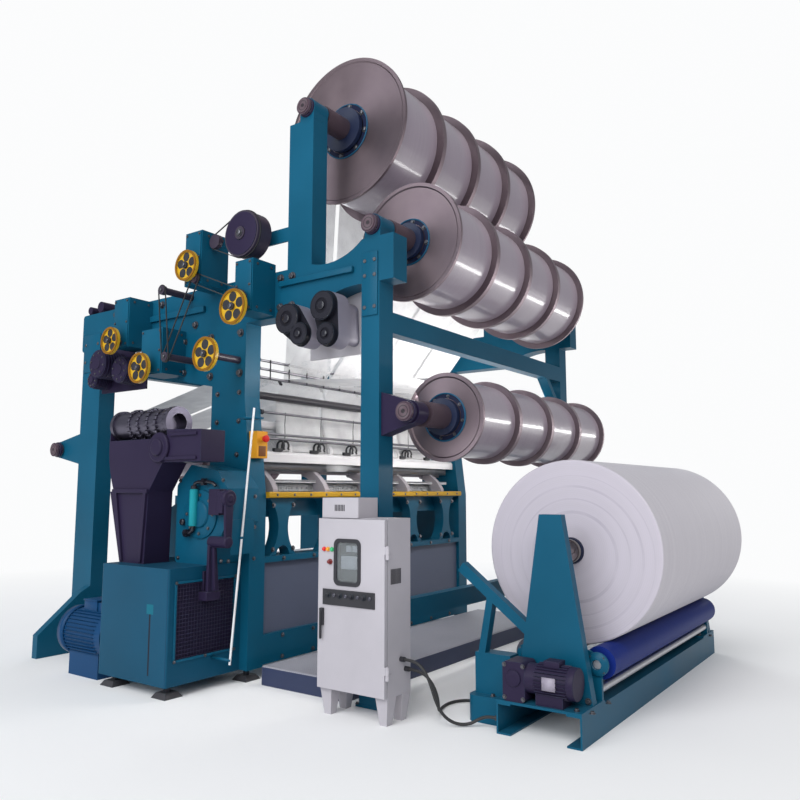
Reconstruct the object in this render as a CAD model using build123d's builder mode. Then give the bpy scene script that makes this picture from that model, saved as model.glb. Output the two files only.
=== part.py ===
from build123d import *
from math import acos, asin, atan2, cos, hypot, pi, radians, sin, sqrt, tan
import os

# Raschel warp knitting machine: bed and knitting head between two end frames, a creel with four
# sectional warp beams, the drive end, a control cabinet and a surface-driven cloth batcher.
# Lengths are in millimetres. X runs along the working width, away from the drive end.
# -Y is the batcher side and Z is up from the floor. Places are given from the middle of the bed.

os.makedirs("parts", exist_ok=True)

# Warp beams: four sections side by side on each shaft
section_count = 4
section_pitch = 489
beam_half = section_count * section_pitch / 2
flange_web = 12
flange_rim = 20
rim_depth = 22
barrel_radius = 110
shaft_radius = 45
shaft_overhang = 45
collar_radius = 74
hub_thick = 34
top_y, top_flange, top_yarn = -1103, 508, 452
middle_y, middle_flange, middle_yarn = -1636, 381, 338
lower_y, lower_z, lower_flange, lower_yarn = -1887, 1621, 267, 234
rear_y, rear_z, rear_flange, rear_yarn = 1577, 1516, 267, 196

# Clearances
bore_gap = 0.05
seat_gap = 0.3
door_gap = 5

# End frames and bed
frame_half = 1361
frame_thick = 135
frame_inner = frame_half - frame_thick
foot_height = 70
bed_front = -670
bed_rear = 430
bed_top = 1150
column_rear = -270
head_front = -590
head_rear = 94
slope_top = 1800
shoulder_z = 1890
crossbeam_z = 2290
crossbeam_depth = 300
crossbeam_rear = 1306
crossbeam_top = crossbeam_z + crossbeam_depth
rail_depth = 80
lower_rail_z, lower_rail_height = 85, 185
mid_rail_z, mid_rail_height = 722, 38
panel_thick = 15
beam_front, beam_rear, beam_under = -560, 250, 1010
shelf_front, shelf_thick = -650, 20
yellow_rail_height, yellow_rail_depth, yellow_rail_z = 40, 50, 1138

# Creel posts
front_post_y, front_post_depth = -1690, 132
rear_post_y, rear_post_depth = 1040, 240
tall_post_y, tall_post_depth, tall_post_rise = -1160, 205, 970
tall_post_top = crossbeam_top + tall_post_rise
arm_rise, arm_tip_y, arm_tip_depth = 110, -1790, 272
arm_under = crossbeam_z + arm_rise
arm_tip_top = arm_under + arm_tip_depth
top_axis_rise, middle_axis_rise = 78, 75
top_z = tall_post_top + top_axis_rise
middle_z = arm_tip_top + middle_axis_rise
creel_rail_drop, creel_rail_height = 180, 125
creel_rail_z = crossbeam_z - creel_rail_drop

# Knitting head
upright_count, upright_inset = 5, 186
upright_start = upright_inset - frame_inner
upright_pitch = -2 * upright_start / (upright_count - 1)
upright_head, upright_waist = 250, 92
arm_count, arm_near_inset, arm_far_inset, arm_width = 5, 107, 249, 46
arm_start = arm_near_inset - frame_inner
arm_pitch = (frame_inner - arm_far_inset - arm_start) / (arm_count - 1)
presser_y, presser_z, presser_radius = -445, 1318, 14
rocker_y, rocker_z, rocker_radius = -430, 1640, 30
hanger_count, hanger_inset, hanger_width = 5, 346, 30
hanger_pitch = 2 * (frame_inner - hanger_inset) / (hanger_count - 1)
guide_bar_count, guide_bar_pitch, guide_bar_thick = 5, 30, 9
guide_bar_z, guide_bar_height, guide_bar_front = 1400, 55, -556
rod_radius = 9
rod_y = -560
upper_rod_heights = (2068, 2010, 1952)
front_rod_y = -600
front_rod_heights = (1710, 1566, 1535)
dark_shaft_y, dark_shaft_z, dark_shaft_radius = -500, 1838, 28
rear_rod_y, rear_rod_z, rear_rod_radius = -30, 2040, 20
cover_y, cover_z, cover_height, cover_thick = -606, 1378, 66, 6
sheet_thick = 2
strip_inset = 6

# Drive end
base_width = 560
base_reach = frame_half + base_width
base_front, base_rear, base_height = -600, 50, 735
drum_rise = 877
drum_z = base_height + drum_rise
mesh_margin, mesh_depth = 60, 8
drum_inset, drum_radius, drum_front, drum_rear = 203, 102, -390, 190
drum_x = drum_inset - base_reach

# Batcher
channel_near, channel_far = 31 - frame_half, frame_half - 121
channel_width, channel_height, channel_wall = 76, 150, 9
rear_channel_y, front_channel_y = -2396, -2839
roll_y, roll_z, roll_radius = -2632, 868, 485
roll_near, roll_far = 462 - frame_half, frame_half - 376
core_radius, core_wall, core_reach, core_depth = 62, 8, 45, 160
roller_radius, roller_spread = 80, 190
plate_thick = 12

# Control cabinet
cabinet_gap, cabinet_depth = 10, 233
cabinet_back_x = -frame_half - cabinet_gap
cabinet_front_x = cabinet_back_x - cabinet_depth
cabinet_right_y, cabinet_left_y = -1911, -1463
cabinet_bottom, cabinet_top = 140, 1040
cabinet_wall = 3
door_thick = 22

# The origin lies on the floor under the middle of the whole set
drive_reach = base_reach
far_reach = frame_half + shaft_overhang
front_reach = -roll_y + roll_radius
rear_reach = rear_y + rear_flange
bed_x = (drive_reach - far_reach) / 2
bed_y = (front_reach - rear_reach) / 2


def across(x):
    """Plane square to the beams; a sketch on it is drawn in (y, z)."""
    return Plane(origin=(bed_x + x, bed_y, 0), x_dir=(0, 1, 0), z_dir=(1, 0, 0))


def along(y):
    """Upright plane along the beams, facing -Y; a sketch on it is drawn in (x, z)."""
    return Plane(origin=(bed_x, bed_y + y, 0), x_dir=(1, 0, 0), z_dir=(0, -1, 0))


def level(z):
    """Horizontal plane; a sketch on it is drawn in (x, y)."""
    return Plane(origin=(bed_x, bed_y, z), x_dir=(1, 0, 0), z_dir=(0, 0, 1))


def place(x, y, z):
    """A point given from the middle of the bed."""
    return Vector(bed_x + x, bed_y + y, z)


def beam_axis(y, z):
    return Axis(place(0, y, z), (1, 0, 0))


def bar(x0, x1, y0, y1, z0, z1, mode=Mode.ADD):
    """Square bar between two corners."""
    with BuildSketch(level(z0)) as footprint:
        with Locations(((x0 + x1) / 2, (y0 + y1) / 2)):
            Rectangle(abs(x1 - x0), abs(y1 - y0))
    extrude(footprint.sketch, amount=z1 - z0, mode=mode)


def disc(x0, x1, y, z, radius, mode=Mode.ADD):
    """Round bar along X."""
    with BuildSketch(across(x0)) as face:
        with Locations((y, z)):
            Circle(radius)
    extrude(face.sketch, amount=x1 - x0, mode=mode)


def tube(x0, x1, y, z, radius, bore):
    """Round tube along X."""
    with BuildSketch(across(x0)) as face:
        with Locations((y, z)):
            Circle(radius)
            Circle(bore, mode=Mode.SUBTRACT)
    extrude(face.sketch, amount=x1 - x0)


def plate(x0, x1, outline, mode=Mode.ADD):
    """Flat plate square to X, from its corners in (y, z)."""
    with BuildSketch(across(x0)) as face:
        with BuildLine():
            Polyline(*outline, close=True)
        make_face()
    extrude(face.sketch, amount=x1 - x0, mode=mode)


def save(piece, label):
    """Name a finished piece and write it."""
    piece.part.label = label
    export_step(piece.part, f"parts/{label}.step")


def sides():
    """The two ends of the machine: name, then where a plate's low and high X faces lie."""
    yield "drive_end", -frame_half, -frame_inner
    yield "far_end", frame_inner, frame_half


# End frames: bed, leaning column and head in one casting

frame_outline = [
    (bed_front, foot_height), (bed_rear, foot_height), (bed_rear, bed_top - 240),
    (column_rear, bed_top + 120), (column_rear, shoulder_z), (head_rear, shoulder_z + 70),
    (head_rear, crossbeam_z), (head_front, crossbeam_z), (head_front, slope_top),
    (bed_front, bed_top),
]
for end, low, high in sides():
    with BuildPart() as end_frame:
        plate(low, high, frame_outline)
        fillet(end_frame.edges().filter_by(Axis.X).sort_by(Axis.Z)[2:4], radius=60)
    save(end_frame, end + "_frame")

# Levelling feet: a screw on a square pad under each frame corner and under the drive base

pad_size, pad_height, pad_crown = 128, 30, 88
screw_radius = 19
foot_inset = 75


def levelling_foot(x, y):
    with BuildSketch(level(0)) as sole:
        with Locations((x, y)):
            Rectangle(pad_size, pad_size)
    with BuildSketch(level(pad_height)) as crown:
        with Locations((x, y)):
            Rectangle(pad_crown, pad_crown)
    loft([sole.sketch, crown.sketch])
    with BuildSketch(level(pad_height)) as screw:
        with Locations((x, y)):
            Circle(screw_radius)
    extrude(screw.sketch, amount=foot_height - pad_height)


with BuildPart() as levelling_feet:
    frame_middle = frame_half - frame_thick / 2
    for x in (-frame_middle, frame_middle):
        levelling_foot(x, bed_front + foot_inset)
        levelling_foot(x, bed_rear - foot_inset)
    for y in (base_front + foot_inset, base_rear - foot_inset):
        levelling_foot(-base_reach + foot_inset, y)
save(levelling_feet, "levelling_feet")

# Bed: rails, perforated front panel, main beam with its shelf, and the stop rail

panel_y = bed_front + 30
with BuildPart() as bed_front_frame:
    bar(-frame_inner, frame_inner, bed_front, bed_front + rail_depth,
        lower_rail_z, lower_rail_z + lower_rail_height)
    bar(-frame_inner, frame_inner, bed_front, bed_front + rail_depth,
        mid_rail_z, mid_rail_z + mid_rail_height)
    bar(-frame_inner, frame_inner, panel_y, panel_y + panel_thick,
        lower_rail_z + lower_rail_height, mid_rail_z)
save(bed_front_frame, "bed_front_panel")

with BuildPart() as bed_beam:
    plate(-frame_inner, frame_inner, [
        (shelf_front, bed_top), (shelf_front, bed_top - shelf_thick),
        (beam_front, bed_top - shelf_thick), (beam_front, beam_under),
        (beam_rear, beam_under), (beam_rear, bed_top)])
save(bed_beam, "bed_beam")

with BuildPart() as stop_rail:
    with BuildSketch(across(-frame_inner)):
        with Locations((shelf_front - yellow_rail_depth / 2, yellow_rail_z + yellow_rail_height / 2)):
            RectangleRounded(yellow_rail_depth, yellow_rail_height, 10)
    extrude(amount=2 * frame_inner)
save(stop_rail, "stop_rail")

# Waisted uprights that carry the shelf, each with an arch between its two feet

upright_foot_z = mid_rail_z + mid_rail_height
upright_top_z = bed_top - shelf_thick
upright_waist_z = upright_foot_z + 0.55 * (upright_top_z - upright_foot_z)
upright_thick = beam_front - shelf_front - seat_gap
arch_radius = 62
with BuildPart() as support_uprights:
    for i in range(upright_count):
        middle = upright_start + i * upright_pitch
        with BuildSketch(along(beam_front - seat_gap)) as casting:
            with BuildLine():
                ThreePointArc((middle - upright_head / 2, upright_foot_z),
                              (middle - upright_waist / 2, upright_waist_z),
                              (middle - upright_head / 2, upright_top_z))
                Line((middle - upright_head / 2, upright_top_z), (middle + upright_head / 2, upright_top_z))
                ThreePointArc((middle + upright_head / 2, upright_top_z),
                              (middle + upright_waist / 2, upright_waist_z),
                              (middle + upright_head / 2, upright_foot_z))
                Line((middle + upright_head / 2, upright_foot_z), (middle - upright_head / 2, upright_foot_z))
            make_face()
            with Locations((middle, upright_foot_z)):
                Circle(arch_radius, mode=Mode.SUBTRACT)
        extrude(casting.sketch, amount=upright_thick)
save(support_uprights, "support_uprights")

# Needle bed with its bevelled top edge

needle_front, needle_rear, needle_top = -485, -400, 1238
with BuildPart() as needle_bed:
    plate(-frame_inner, frame_inner, [
        (needle_front, bed_top), (needle_rear, bed_top), (needle_rear, needle_top - 40),
        (needle_rear - 30, needle_top), (needle_front + 30, needle_top), (needle_front, needle_top - 60)])
save(needle_bed, "needle_bed")

# Swan-neck arms on the shelf, with the presser bar through their heads

arm_head_radius = 34
arm_foot_front, arm_foot_rear = shelf_front, -545
with BuildPart() as presser_arms:
    for i in range(arm_count):
        x = arm_start + i * arm_pitch - arm_width / 2
        with BuildSketch(across(x)) as neck:
            with BuildLine():
                Line((arm_foot_front, bed_top), (arm_foot_rear, bed_top))
                ThreePointArc((arm_foot_rear, bed_top), (arm_foot_rear + 30, bed_top + 90),
                              (presser_y + 20, presser_z - arm_head_radius + 6))
                ThreePointArc((presser_y + 20, presser_z - arm_head_radius + 6),
                              (presser_y + arm_head_radius, presser_z),
                              (presser_y - 6, presser_z + arm_head_radius))
                ThreePointArc((presser_y - 6, presser_z + arm_head_radius),
                              (arm_foot_front + 95, bed_top + 155),
                              (arm_foot_front, bed_top + 46))
                Line((arm_foot_front, bed_top + 46), (arm_foot_front, bed_top))
            make_face()
        extrude(neck.sketch, amount=arm_width)
    disc(-frame_inner, frame_inner, presser_y, presser_z, presser_radius)
save(presser_arms, "presser_arms")

# Rocker shaft, the hangers on it and the guide bars under them

guide_bar_top = guide_bar_z + guide_bar_height
guide_bar_rear = guide_bar_front + (guide_bar_count - 1) * guide_bar_pitch + guide_bar_thick
hanger_hub = rocker_radius + 16
hanger_shoe = 34
with BuildPart() as guide_bar_unit:
    disc(-frame_inner, frame_inner, rocker_y, rocker_z, rocker_radius)
    for i in range(hanger_count):
        x = (i - (hanger_count - 1) / 2) * hanger_pitch - hanger_width / 2
        plate(x, x + hanger_width, [
            (guide_bar_front, guide_bar_top), (guide_bar_rear, guide_bar_top),
            (guide_bar_rear, guide_bar_top + hanger_shoe), (rocker_y + hanger_hub * 0.7, rocker_z),
            (rocker_y - hanger_hub * 0.7, rocker_z), (guide_bar_front, guide_bar_top + hanger_shoe)])
        disc(x, x + hanger_width, rocker_y, rocker_z, hanger_hub)
    for i in range(guide_bar_count):
        y = guide_bar_front + i * guide_bar_pitch
        bar(-frame_inner + 20, frame_inner - 20, y, y + guide_bar_thick, guide_bar_z, guide_bar_top)
save(guide_bar_unit, "guide_bar_unit")

with BuildPart() as needle_cover:
    plate(-frame_inner, frame_inner, [
        (cover_y, cover_z), (cover_y + cover_thick, cover_z),
        (cover_y + cover_thick, cover_z + cover_height - 20),
        (cover_y + 3 * cover_thick, cover_z + cover_height),
        (cover_y + 2 * cover_thick, cover_z + cover_height),
        (cover_y, cover_z + cover_height - 18)])
save(needle_cover, "needle_cover")

# Rods that the warp runs over, from end frame to end frame

with BuildPart() as yarn_rods:
    for z in upper_rod_heights:
        disc(-frame_inner, frame_inner, rod_y, z, rod_radius)
    for z in front_rod_heights:
        disc(-frame_inner, frame_inner, front_rod_y, z, rod_radius)
    disc(-frame_inner, frame_inner, rear_rod_y, rear_rod_z, rear_rod_radius)
    disc(-frame_inner, frame_inner, dark_shaft_y, dark_shaft_z, dark_shaft_radius)
save(yarn_rods, "yarn_rods")

# Take-down rollers behind the front panel

take_down_radius = 72
take_down_places = ((-180, 560), (20, 640))
with BuildPart() as take_down_rollers:
    for y, z in take_down_places:
        disc(-frame_inner, frame_inner, y, z, take_down_radius)
save(take_down_rollers, "take_down_rollers")

# Creel: at each end a rear post, a front post and the head that joins them, which is one casting of
# crossbeam, curved arm and tall post, and the beam bearings on them

block_half, block_crown = 58, 66
bracket_root, bracket_tip, bracket_thick = 250, 66, 96
bearing_bore = shaft_radius + bore_gap
stay_reach, stay_top, stay_thick = 395, 470, 60


def pillow_block(low, high, y, z, seat):
    """Bearing block whose foot lies on a seat below the axis."""
    plate(low, high, [(y - block_half, seat), (y + block_half, seat),
                      (y + block_half, z), (y - block_half, z)])
    disc(low, high, y, z, block_crown)
    disc(low, high, y, z, bearing_bore, mode=Mode.SUBTRACT)


def post_bracket(low, high, y, z, post_face):
    """Tapered bracket from a post's face out to the axis."""
    plate(low, high, [(post_face, z - bracket_root / 2), (post_face, z + bracket_root / 2),
                      (y, z + bracket_tip), (y, z - bracket_tip)])
    disc(low, high, y, z, bracket_tip)
    disc(low, high, y, z, bearing_bore, mode=Mode.SUBTRACT)


for end, low, high in sides():
    bracket_low = (low + high - bracket_thick) / 2
    with BuildPart() as rear_post:
        bar(low, high, rear_post_y, rear_post_y + rear_post_depth, 0, crossbeam_z)
        post_bracket(bracket_low, bracket_low + bracket_thick, rear_y, rear_z, rear_post_y + rear_post_depth)
        if end == "drive_end":
            with BuildSketch(along(rear_post_y + stay_thick)) as stay:
                with BuildLine():
                    Polyline((-frame_half, 0), (-frame_half, stay_top), (-frame_half - 75, stay_top - 40),
                             (-frame_half - stay_reach, 160), (-frame_half - stay_reach, 0), close=True)
                make_face()
            extrude(stay.sketch, amount=stay_thick)
    save(rear_post, end + "_rear_post")

    with BuildPart() as front_post:
        bar(low, high, front_post_y, front_post_y + front_post_depth, 0, arm_under)
        post_bracket(bracket_low, bracket_low + bracket_thick, lower_y, lower_z, front_post_y)
    save(front_post, end + "_front_post")

    with BuildPart() as creel_head:
        with BuildSketch(across(low)) as arm:
            with BuildLine():
                Line((crossbeam_rear, crossbeam_top), (crossbeam_rear, crossbeam_z))
                Line((crossbeam_rear, crossbeam_z), (tall_post_y, crossbeam_z))
                ThreePointArc((tall_post_y, crossbeam_z), (tall_post_y - 190, arm_under - 22),
                              (front_post_y + front_post_depth, arm_under))
                Line((front_post_y + front_post_depth, arm_under), (arm_tip_y, arm_under))
                Line((arm_tip_y, arm_under), (arm_tip_y, arm_tip_top))
                Line((arm_tip_y, arm_tip_top), (front_post_y + front_post_depth, arm_tip_top))
                ThreePointArc((front_post_y + front_post_depth, arm_tip_top),
                              (front_post_y + 290, crossbeam_top - 2), (tall_post_y, crossbeam_top))
                Line((tall_post_y, crossbeam_top), (crossbeam_rear, crossbeam_top))
            make_face()
        extrude(arm.sketch, amount=high - low)
        fillet(creel_head.edges().filter_by(Axis.X).group_by(Axis.Y)[-1], radius=24)
        bar(low, high, tall_post_y, tall_post_y + tall_post_depth, crossbeam_top, tall_post_top)
        pillow_block(low, high, top_y, top_z, tall_post_top)
        pillow_block(low, high, middle_y, middle_z, arm_tip_top)
    save(creel_head, end + "_creel_head")

# Rails between the two ends of the creel, with a strut under the front one

strut_reach, strut_width = 230, 56
with BuildPart() as creel_front_rail:
    bar(-frame_inner, frame_inner, front_post_y, front_post_y + rail_depth,
        creel_rail_z, creel_rail_z + creel_rail_height)
    with BuildSketch(along(front_post_y + rail_depth)) as strut:
        with BuildLine():
            Polyline((frame_inner, creel_rail_z - strut_reach),
                     (frame_inner, creel_rail_z - strut_reach - strut_width),
                     (frame_inner - strut_reach - strut_width, creel_rail_z),
                     (frame_inner - strut_reach, creel_rail_z), close=True)
        make_face()
    extrude(strut.sketch, amount=rail_depth)
save(creel_front_rail, "creel_front_rail")

with BuildPart() as creel_rear_rail:
    bar(-frame_inner, frame_inner, rear_post_y, rear_post_y + rail_depth,
        creel_rail_z, creel_rail_z + creel_rail_height)
save(creel_rear_rail, "creel_rear_rail")

# Warp beams: flanged sections on a shaft, each section wound with yarn

def flange_ring(x_face, facing, y, z, radius):
    """A flange with a thicker rim; facing is +1 where its flat inner face looks along +X."""
    with BuildSketch(along(y)) as half:
        with BuildLine():
            Polyline((x_face, z), (x_face, z + radius),
                     (x_face - facing * flange_rim, z + radius),
                     (x_face - facing * flange_rim, z + radius - rim_depth),
                     (x_face - facing * flange_web, z + radius - rim_depth - 8),
                     (x_face - facing * flange_web, z), close=True)
        make_face()
    revolve(half.sketch, axis=beam_axis(y, z))


def section_faces():
    """Where the yarn space of each section starts and ends along X."""
    for i in range(section_count):
        start = -beam_half + i * section_pitch + flange_rim
        yield start, start + section_pitch - 2 * flange_rim


def warp_beam(name, y, z, flange, yarn):
    reach = frame_half + shaft_overhang
    collar_end = frame_inner - 8
    hub = 0.3 * flange
    with BuildPart() as beam:
        disc(-reach, reach, y, z, shaft_radius)
        disc(-collar_end, collar_end, y, z, collar_radius)
        disc(-beam_half - hub_thick, beam_half + hub_thick, y, z, barrel_radius)
        for side in (-beam_half - hub_thick, beam_half):
            disc(side, side + hub_thick, y, z, hub)
        for start, finish in section_faces():
            flange_ring(start, 1, y, z, flange)
            flange_ring(finish, -1, y, z, flange)
    save(beam, name)

    with BuildPart() as packages:
        for start, finish in section_faces():
            tube(start, finish, y, z, yarn, barrel_radius)
    save(packages, name + "_yarn")


warp_beam("top_beam", top_y, top_z, top_flange, top_yarn)
warp_beam("middle_beam", middle_y, middle_z, middle_flange, middle_yarn)
warp_beam("lower_beam", lower_y, lower_z, lower_flange, lower_yarn)
warp_beam("rear_beam", rear_y, rear_z, rear_flange, rear_yarn)

# Warp sheets: one strip for each section from each beam to the rods, then down to the guide bars

curtain_rear = rod_y - rod_radius - seat_gap
curtain_front = curtain_rear - sheet_thick
curtain_foot = guide_bar_top + 6
rear_foot_y = guide_bar_rear + 16


def strips(corners):
    """The same flat run of yarn in the width of each section."""
    for start, finish in section_faces():
        plate(start + strip_inset, finish - strip_inset, corners)


def sheet_run(low, low_radius, high, high_radius, side):
    """Flat run along the tangent of two circles; a negative radius puts that circle on the other side."""
    span = hypot(high[0] - low[0], high[1] - low[1])
    heading = atan2(high[1] - low[1], high[0] - low[0]) + side * acos((low_radius - high_radius) / span)
    corners = []
    for centre, radius in ((low, low_radius), (low, low_radius + sheet_thick),
                           (high, high_radius + sheet_thick), (high, high_radius)):
        corners.append((centre[0] + radius * cos(heading), centre[1] + radius * sin(heading)))
    strips(corners)
    return corners


def sloping_run(y, z, yarn, end_z, side):
    """Flat run from a front beam that ends just before the front face of the curtain."""
    end_y = curtain_front - seat_gap
    reach = hypot(y - end_y, z - end_z)
    radius = yarn + seat_gap + sheet_thick
    heading = atan2(z - end_z, y - end_y) - side * asin(radius / reach)
    run = sqrt(reach ** 2 - radius ** 2)
    touch_y, touch_z = end_y + run * cos(heading), end_z + run * sin(heading)
    strips([(end_y, end_z), (end_y, end_z - side * sheet_thick),
            (touch_y, touch_z - side * sheet_thick), (touch_y, touch_z)])


with BuildPart() as warp_sheets:
    rod_hold = rod_radius + seat_gap + sheet_thick
    top_run = sheet_run((rod_y, upper_rod_heights[0]), -rod_hold, (top_y, top_z), top_yarn + seat_gap, -1)
    curtain_top = min(z for y, z in top_run) - seat_gap
    strips([(curtain_front, curtain_foot), (curtain_rear, curtain_foot),
            (curtain_rear, curtain_top), (curtain_front, curtain_top)])
    sloping_run(middle_y, middle_z, middle_yarn, upper_rod_heights[1], 1)
    sloping_run(lower_y, lower_z, lower_yarn, upper_rod_heights[2], 1)
    rear_run = sheet_run((rear_rod_y, rear_rod_z), rear_rod_radius + seat_gap,
                         (rear_y, rear_z), rear_yarn + seat_gap, 1)
    sheet_run((rear_foot_y, curtain_foot), 0, (rear_rod_y, rear_rod_z), rear_rod_radius + seat_gap, 1)
save(warp_sheets, "warp_sheets")

# Drive base with the recess of its mesh guard, and the gear case, stand and pattern drum on it

mesh_foot, mesh_drop = 215, 90
with BuildPart() as drive_base:
    bar(-base_reach, -frame_half, base_front, base_rear, foot_height, base_height)
    bar(-base_reach + mesh_margin, -frame_half - mesh_margin, base_front, base_front + mesh_depth,
        mesh_foot, base_height - mesh_drop, mode=Mode.SUBTRACT)
    fillet(drive_base.edges().filter_by(Axis.Z).sort_by(Axis.X)[:2], radius=14)
save(drive_base, "drive_base")

cradle_inset, cradle_width, cradle_gap = 111, 184, 6
cradle_low_x = cradle_inset - base_reach
cradle_high_x = cradle_low_x + cradle_width
case_low_x, case_high_x = cradle_high_x + cradle_gap, -frame_half
case_front, case_rear, case_rise = -740, -270, 615
case_top = base_height + case_rise
with BuildPart() as gear_case:
    plate(case_low_x, case_high_x, [
        (base_front + 8, base_height), (case_rear, base_height), (case_rear, case_top - 130),
        (case_rear - 130, case_top), (base_front - 40, case_top - 40), (case_front, case_top - 150),
        (case_front, base_height + 260)])
    fillet(gear_case.edges().filter_by(Axis.X).sort_by(Axis.Y)[-3:], radius=24)
save(gear_case, "gear_case")

pedestal_rise, pedestal_y, pedestal_depth = 445, -30, 400
pedestal_top = base_height + pedestal_rise
foot_y, foot_width, foot_depth = -90, 190, 250
with BuildPart() as pattern_stand:
    with BuildSketch(level(base_height)) as foot:
        with Locations((drum_x, foot_y)):
            Rectangle(foot_width, foot_depth)
    with BuildSketch(level(pedestal_top)) as neck:
        with Locations((drum_x, pedestal_y)):
            Rectangle(cradle_width, pedestal_depth)
    loft([foot.sketch, neck.sketch])
    with BuildSketch(across(cradle_low_x)) as cradle:
        with BuildLine():
            Line((drum_rear, drum_z - 30), (case_front + 30, drum_z - 60))
            Line((case_front + 30, drum_z - 60), (case_front + 30, case_top + 10))
            Line((case_front + 30, case_top + 10), (case_rear - 90, case_top + 10))
            Line((case_rear - 90, case_top + 10), (case_rear + 40, pedestal_top))
            Line((case_rear + 40, pedestal_top), (130, pedestal_top))
            ThreePointArc((130, pedestal_top), (185, pedestal_top + 150), (drum_rear, drum_z - 30))
        make_face()
        with Locations(((drum_front + drum_rear) / 2, drum_z)):
            Rectangle(drum_rear - drum_front + 2 * seat_gap, 2 * drum_radius + 2 * seat_gap,
                      mode=Mode.SUBTRACT)
    extrude(cradle.sketch, amount=cradle_high_x - cradle_low_x)
save(pattern_stand, "pattern_stand")

drum_rim, drum_rim_depth = 14, 26
with BuildPart() as pattern_drum:
    with BuildSketch(along(drum_rear)) as barrel:
        with Locations((drum_x, drum_z)):
            Circle(drum_radius - drum_rim)
    extrude(barrel.sketch, amount=drum_rear - drum_front)
    for y in (drum_rear, drum_front + drum_rim_depth):
        with BuildSketch(along(y)) as rim:
            with Locations((drum_x, drum_z)):
                Circle(drum_radius)
        extrude(rim.sketch, amount=drum_rim_depth)
    with BuildSketch(along(drum_front + 60)) as eye:
        with Locations((drum_x, drum_z)):
            Circle(drum_radius - 44)
    extrude(eye.sketch, amount=60, mode=Mode.SUBTRACT)
save(pattern_drum, "pattern_drum")

# Main motor behind the base, on a foot plate

motor_inset, motor_z, motor_radius = 176, 262, 150
motor_neck, motor_length = 40, 460
motor_x = motor_inset - base_reach
motor_front = base_rear + motor_neck
motor_rear = motor_front + motor_length
with BuildPart() as main_motor:
    with BuildSketch(along(motor_rear)) as body:
        with Locations((motor_x, motor_z)):
            Circle(motor_radius)
    extrude(body.sketch, amount=motor_rear - motor_front)
    with BuildSketch(along(motor_front)) as nose:
        with Locations((motor_x, motor_z)):
            Circle(60)
    extrude(nose.sketch, amount=motor_front - base_rear)
    bar(motor_x - 110, motor_x + 110, motor_front + 60, motor_rear - 80, 0, motor_z - 90)
    bar(motor_x - 60, motor_x + 60, motor_front + 120, motor_rear - 160, motor_z + 120, motor_z + 200)
save(main_motor, "main_motor")

# Let-off gear: boxes on the outer face of the head, their pulleys, sheaves and belts

box_depth_out, tall_box_depth = 199, 229
box_face_x = -frame_half - box_depth_out
tall_box_x = -frame_half - tall_box_depth
box_list = (
    (tall_box_x, -396, -230, crossbeam_top - 50, crossbeam_top + 315),
    (box_face_x, -850, -690, crossbeam_z + 10, crossbeam_z + 350),
    (box_face_x, 410, 590, crossbeam_z - 75, crossbeam_z + 285),
    (box_face_x, 20, 250, crossbeam_z - 305, crossbeam_z + 15),
)
bracket_plate = 14
drum_y, brake_rise, brake_radius = -718, 237, 152
brake_stub, brake_width, brake_belt_inset = 64, 120, 17
brake_z = crossbeam_top + brake_rise
brake_high_x = -frame_half - brake_stub
brake_low_x = brake_high_x - brake_width
small_y, small_radius = -456, 48
brake_belt_x = brake_low_x + brake_belt_inset
with BuildPart() as let_off_boxes:
    for face_x, y0, y1, z0, z1 in box_list:
        bar(face_x, -frame_half, y0, y1, z0, z1)
    bar(-frame_half, -frame_half + bracket_plate, tall_post_y + tall_post_depth, drum_y + 40,
        brake_z - 46, brake_z + 46)
    bar(brake_belt_x + 22, brake_belt_x + 36, small_y - 30, box_list[0][1], brake_z - 28, brake_z + 28)
save(let_off_boxes, "let_off_boxes")

sheave_radius, sheave_width, sheave_gap = 32, 30, 4
sheave_high_x = tall_box_x - sheave_gap
sheave_low_x = sheave_high_x - sheave_width
belt_width, belt_thick = 7, 6
sheave_a, sheave_b = (-360, crossbeam_z + 284), (-786, crossbeam_z + 105)
sheave_c, sheave_d = (-85, crossbeam_z - 211), (-27, crossbeam_z + 255)
pulley_width, pulley_gap = 22, 6
pulley_high_x = sheave_low_x - pulley_gap
pulley_low_x = pulley_high_x - pulley_width
pulley_list = (
    (-313, crossbeam_z + 370, 104), (-770, crossbeam_z + 28, 112), (-525, crossbeam_z - 244, 110),
    (500, crossbeam_z - 40, 98), (150, crossbeam_z - 270, 106),
)
hub_radius = 24


def shaft_start(y, z):
    """Outer face that a pulley's stub stands on: a box where there is one, else the head."""
    for face_x, y0, y1, z0, z1 in box_list:
        if y0 < y < y1 and z0 < z < z1:
            return face_x
    return -frame_half


with BuildPart() as let_off_pulleys:
    for y, z, radius in pulley_list:
        disc(pulley_low_x, pulley_high_x, y, z, radius)
        disc(pulley_low_x, pulley_low_x + 5, y, z, radius - 16, mode=Mode.SUBTRACT)
        disc(pulley_low_x - 14, shaft_start(y, z), y, z, hub_radius)
    for y, z in (sheave_a, sheave_b, sheave_c, sheave_d):
        disc(sheave_low_x, sheave_high_x, y, z, sheave_radius)
        disc(sheave_high_x, shaft_start(y, z), y, z, hub_radius)
    disc(brake_low_x, brake_high_x, drum_y, brake_z, brake_radius)
    disc(brake_low_x - 16, brake_low_x, drum_y, brake_z, 42)
    disc(brake_high_x, -frame_half, drum_y, brake_z, 30)
    disc(brake_belt_x - 12, brake_belt_x + 22, small_y, brake_z, small_radius)
save(let_off_pulleys, "let_off_pulleys")


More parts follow.
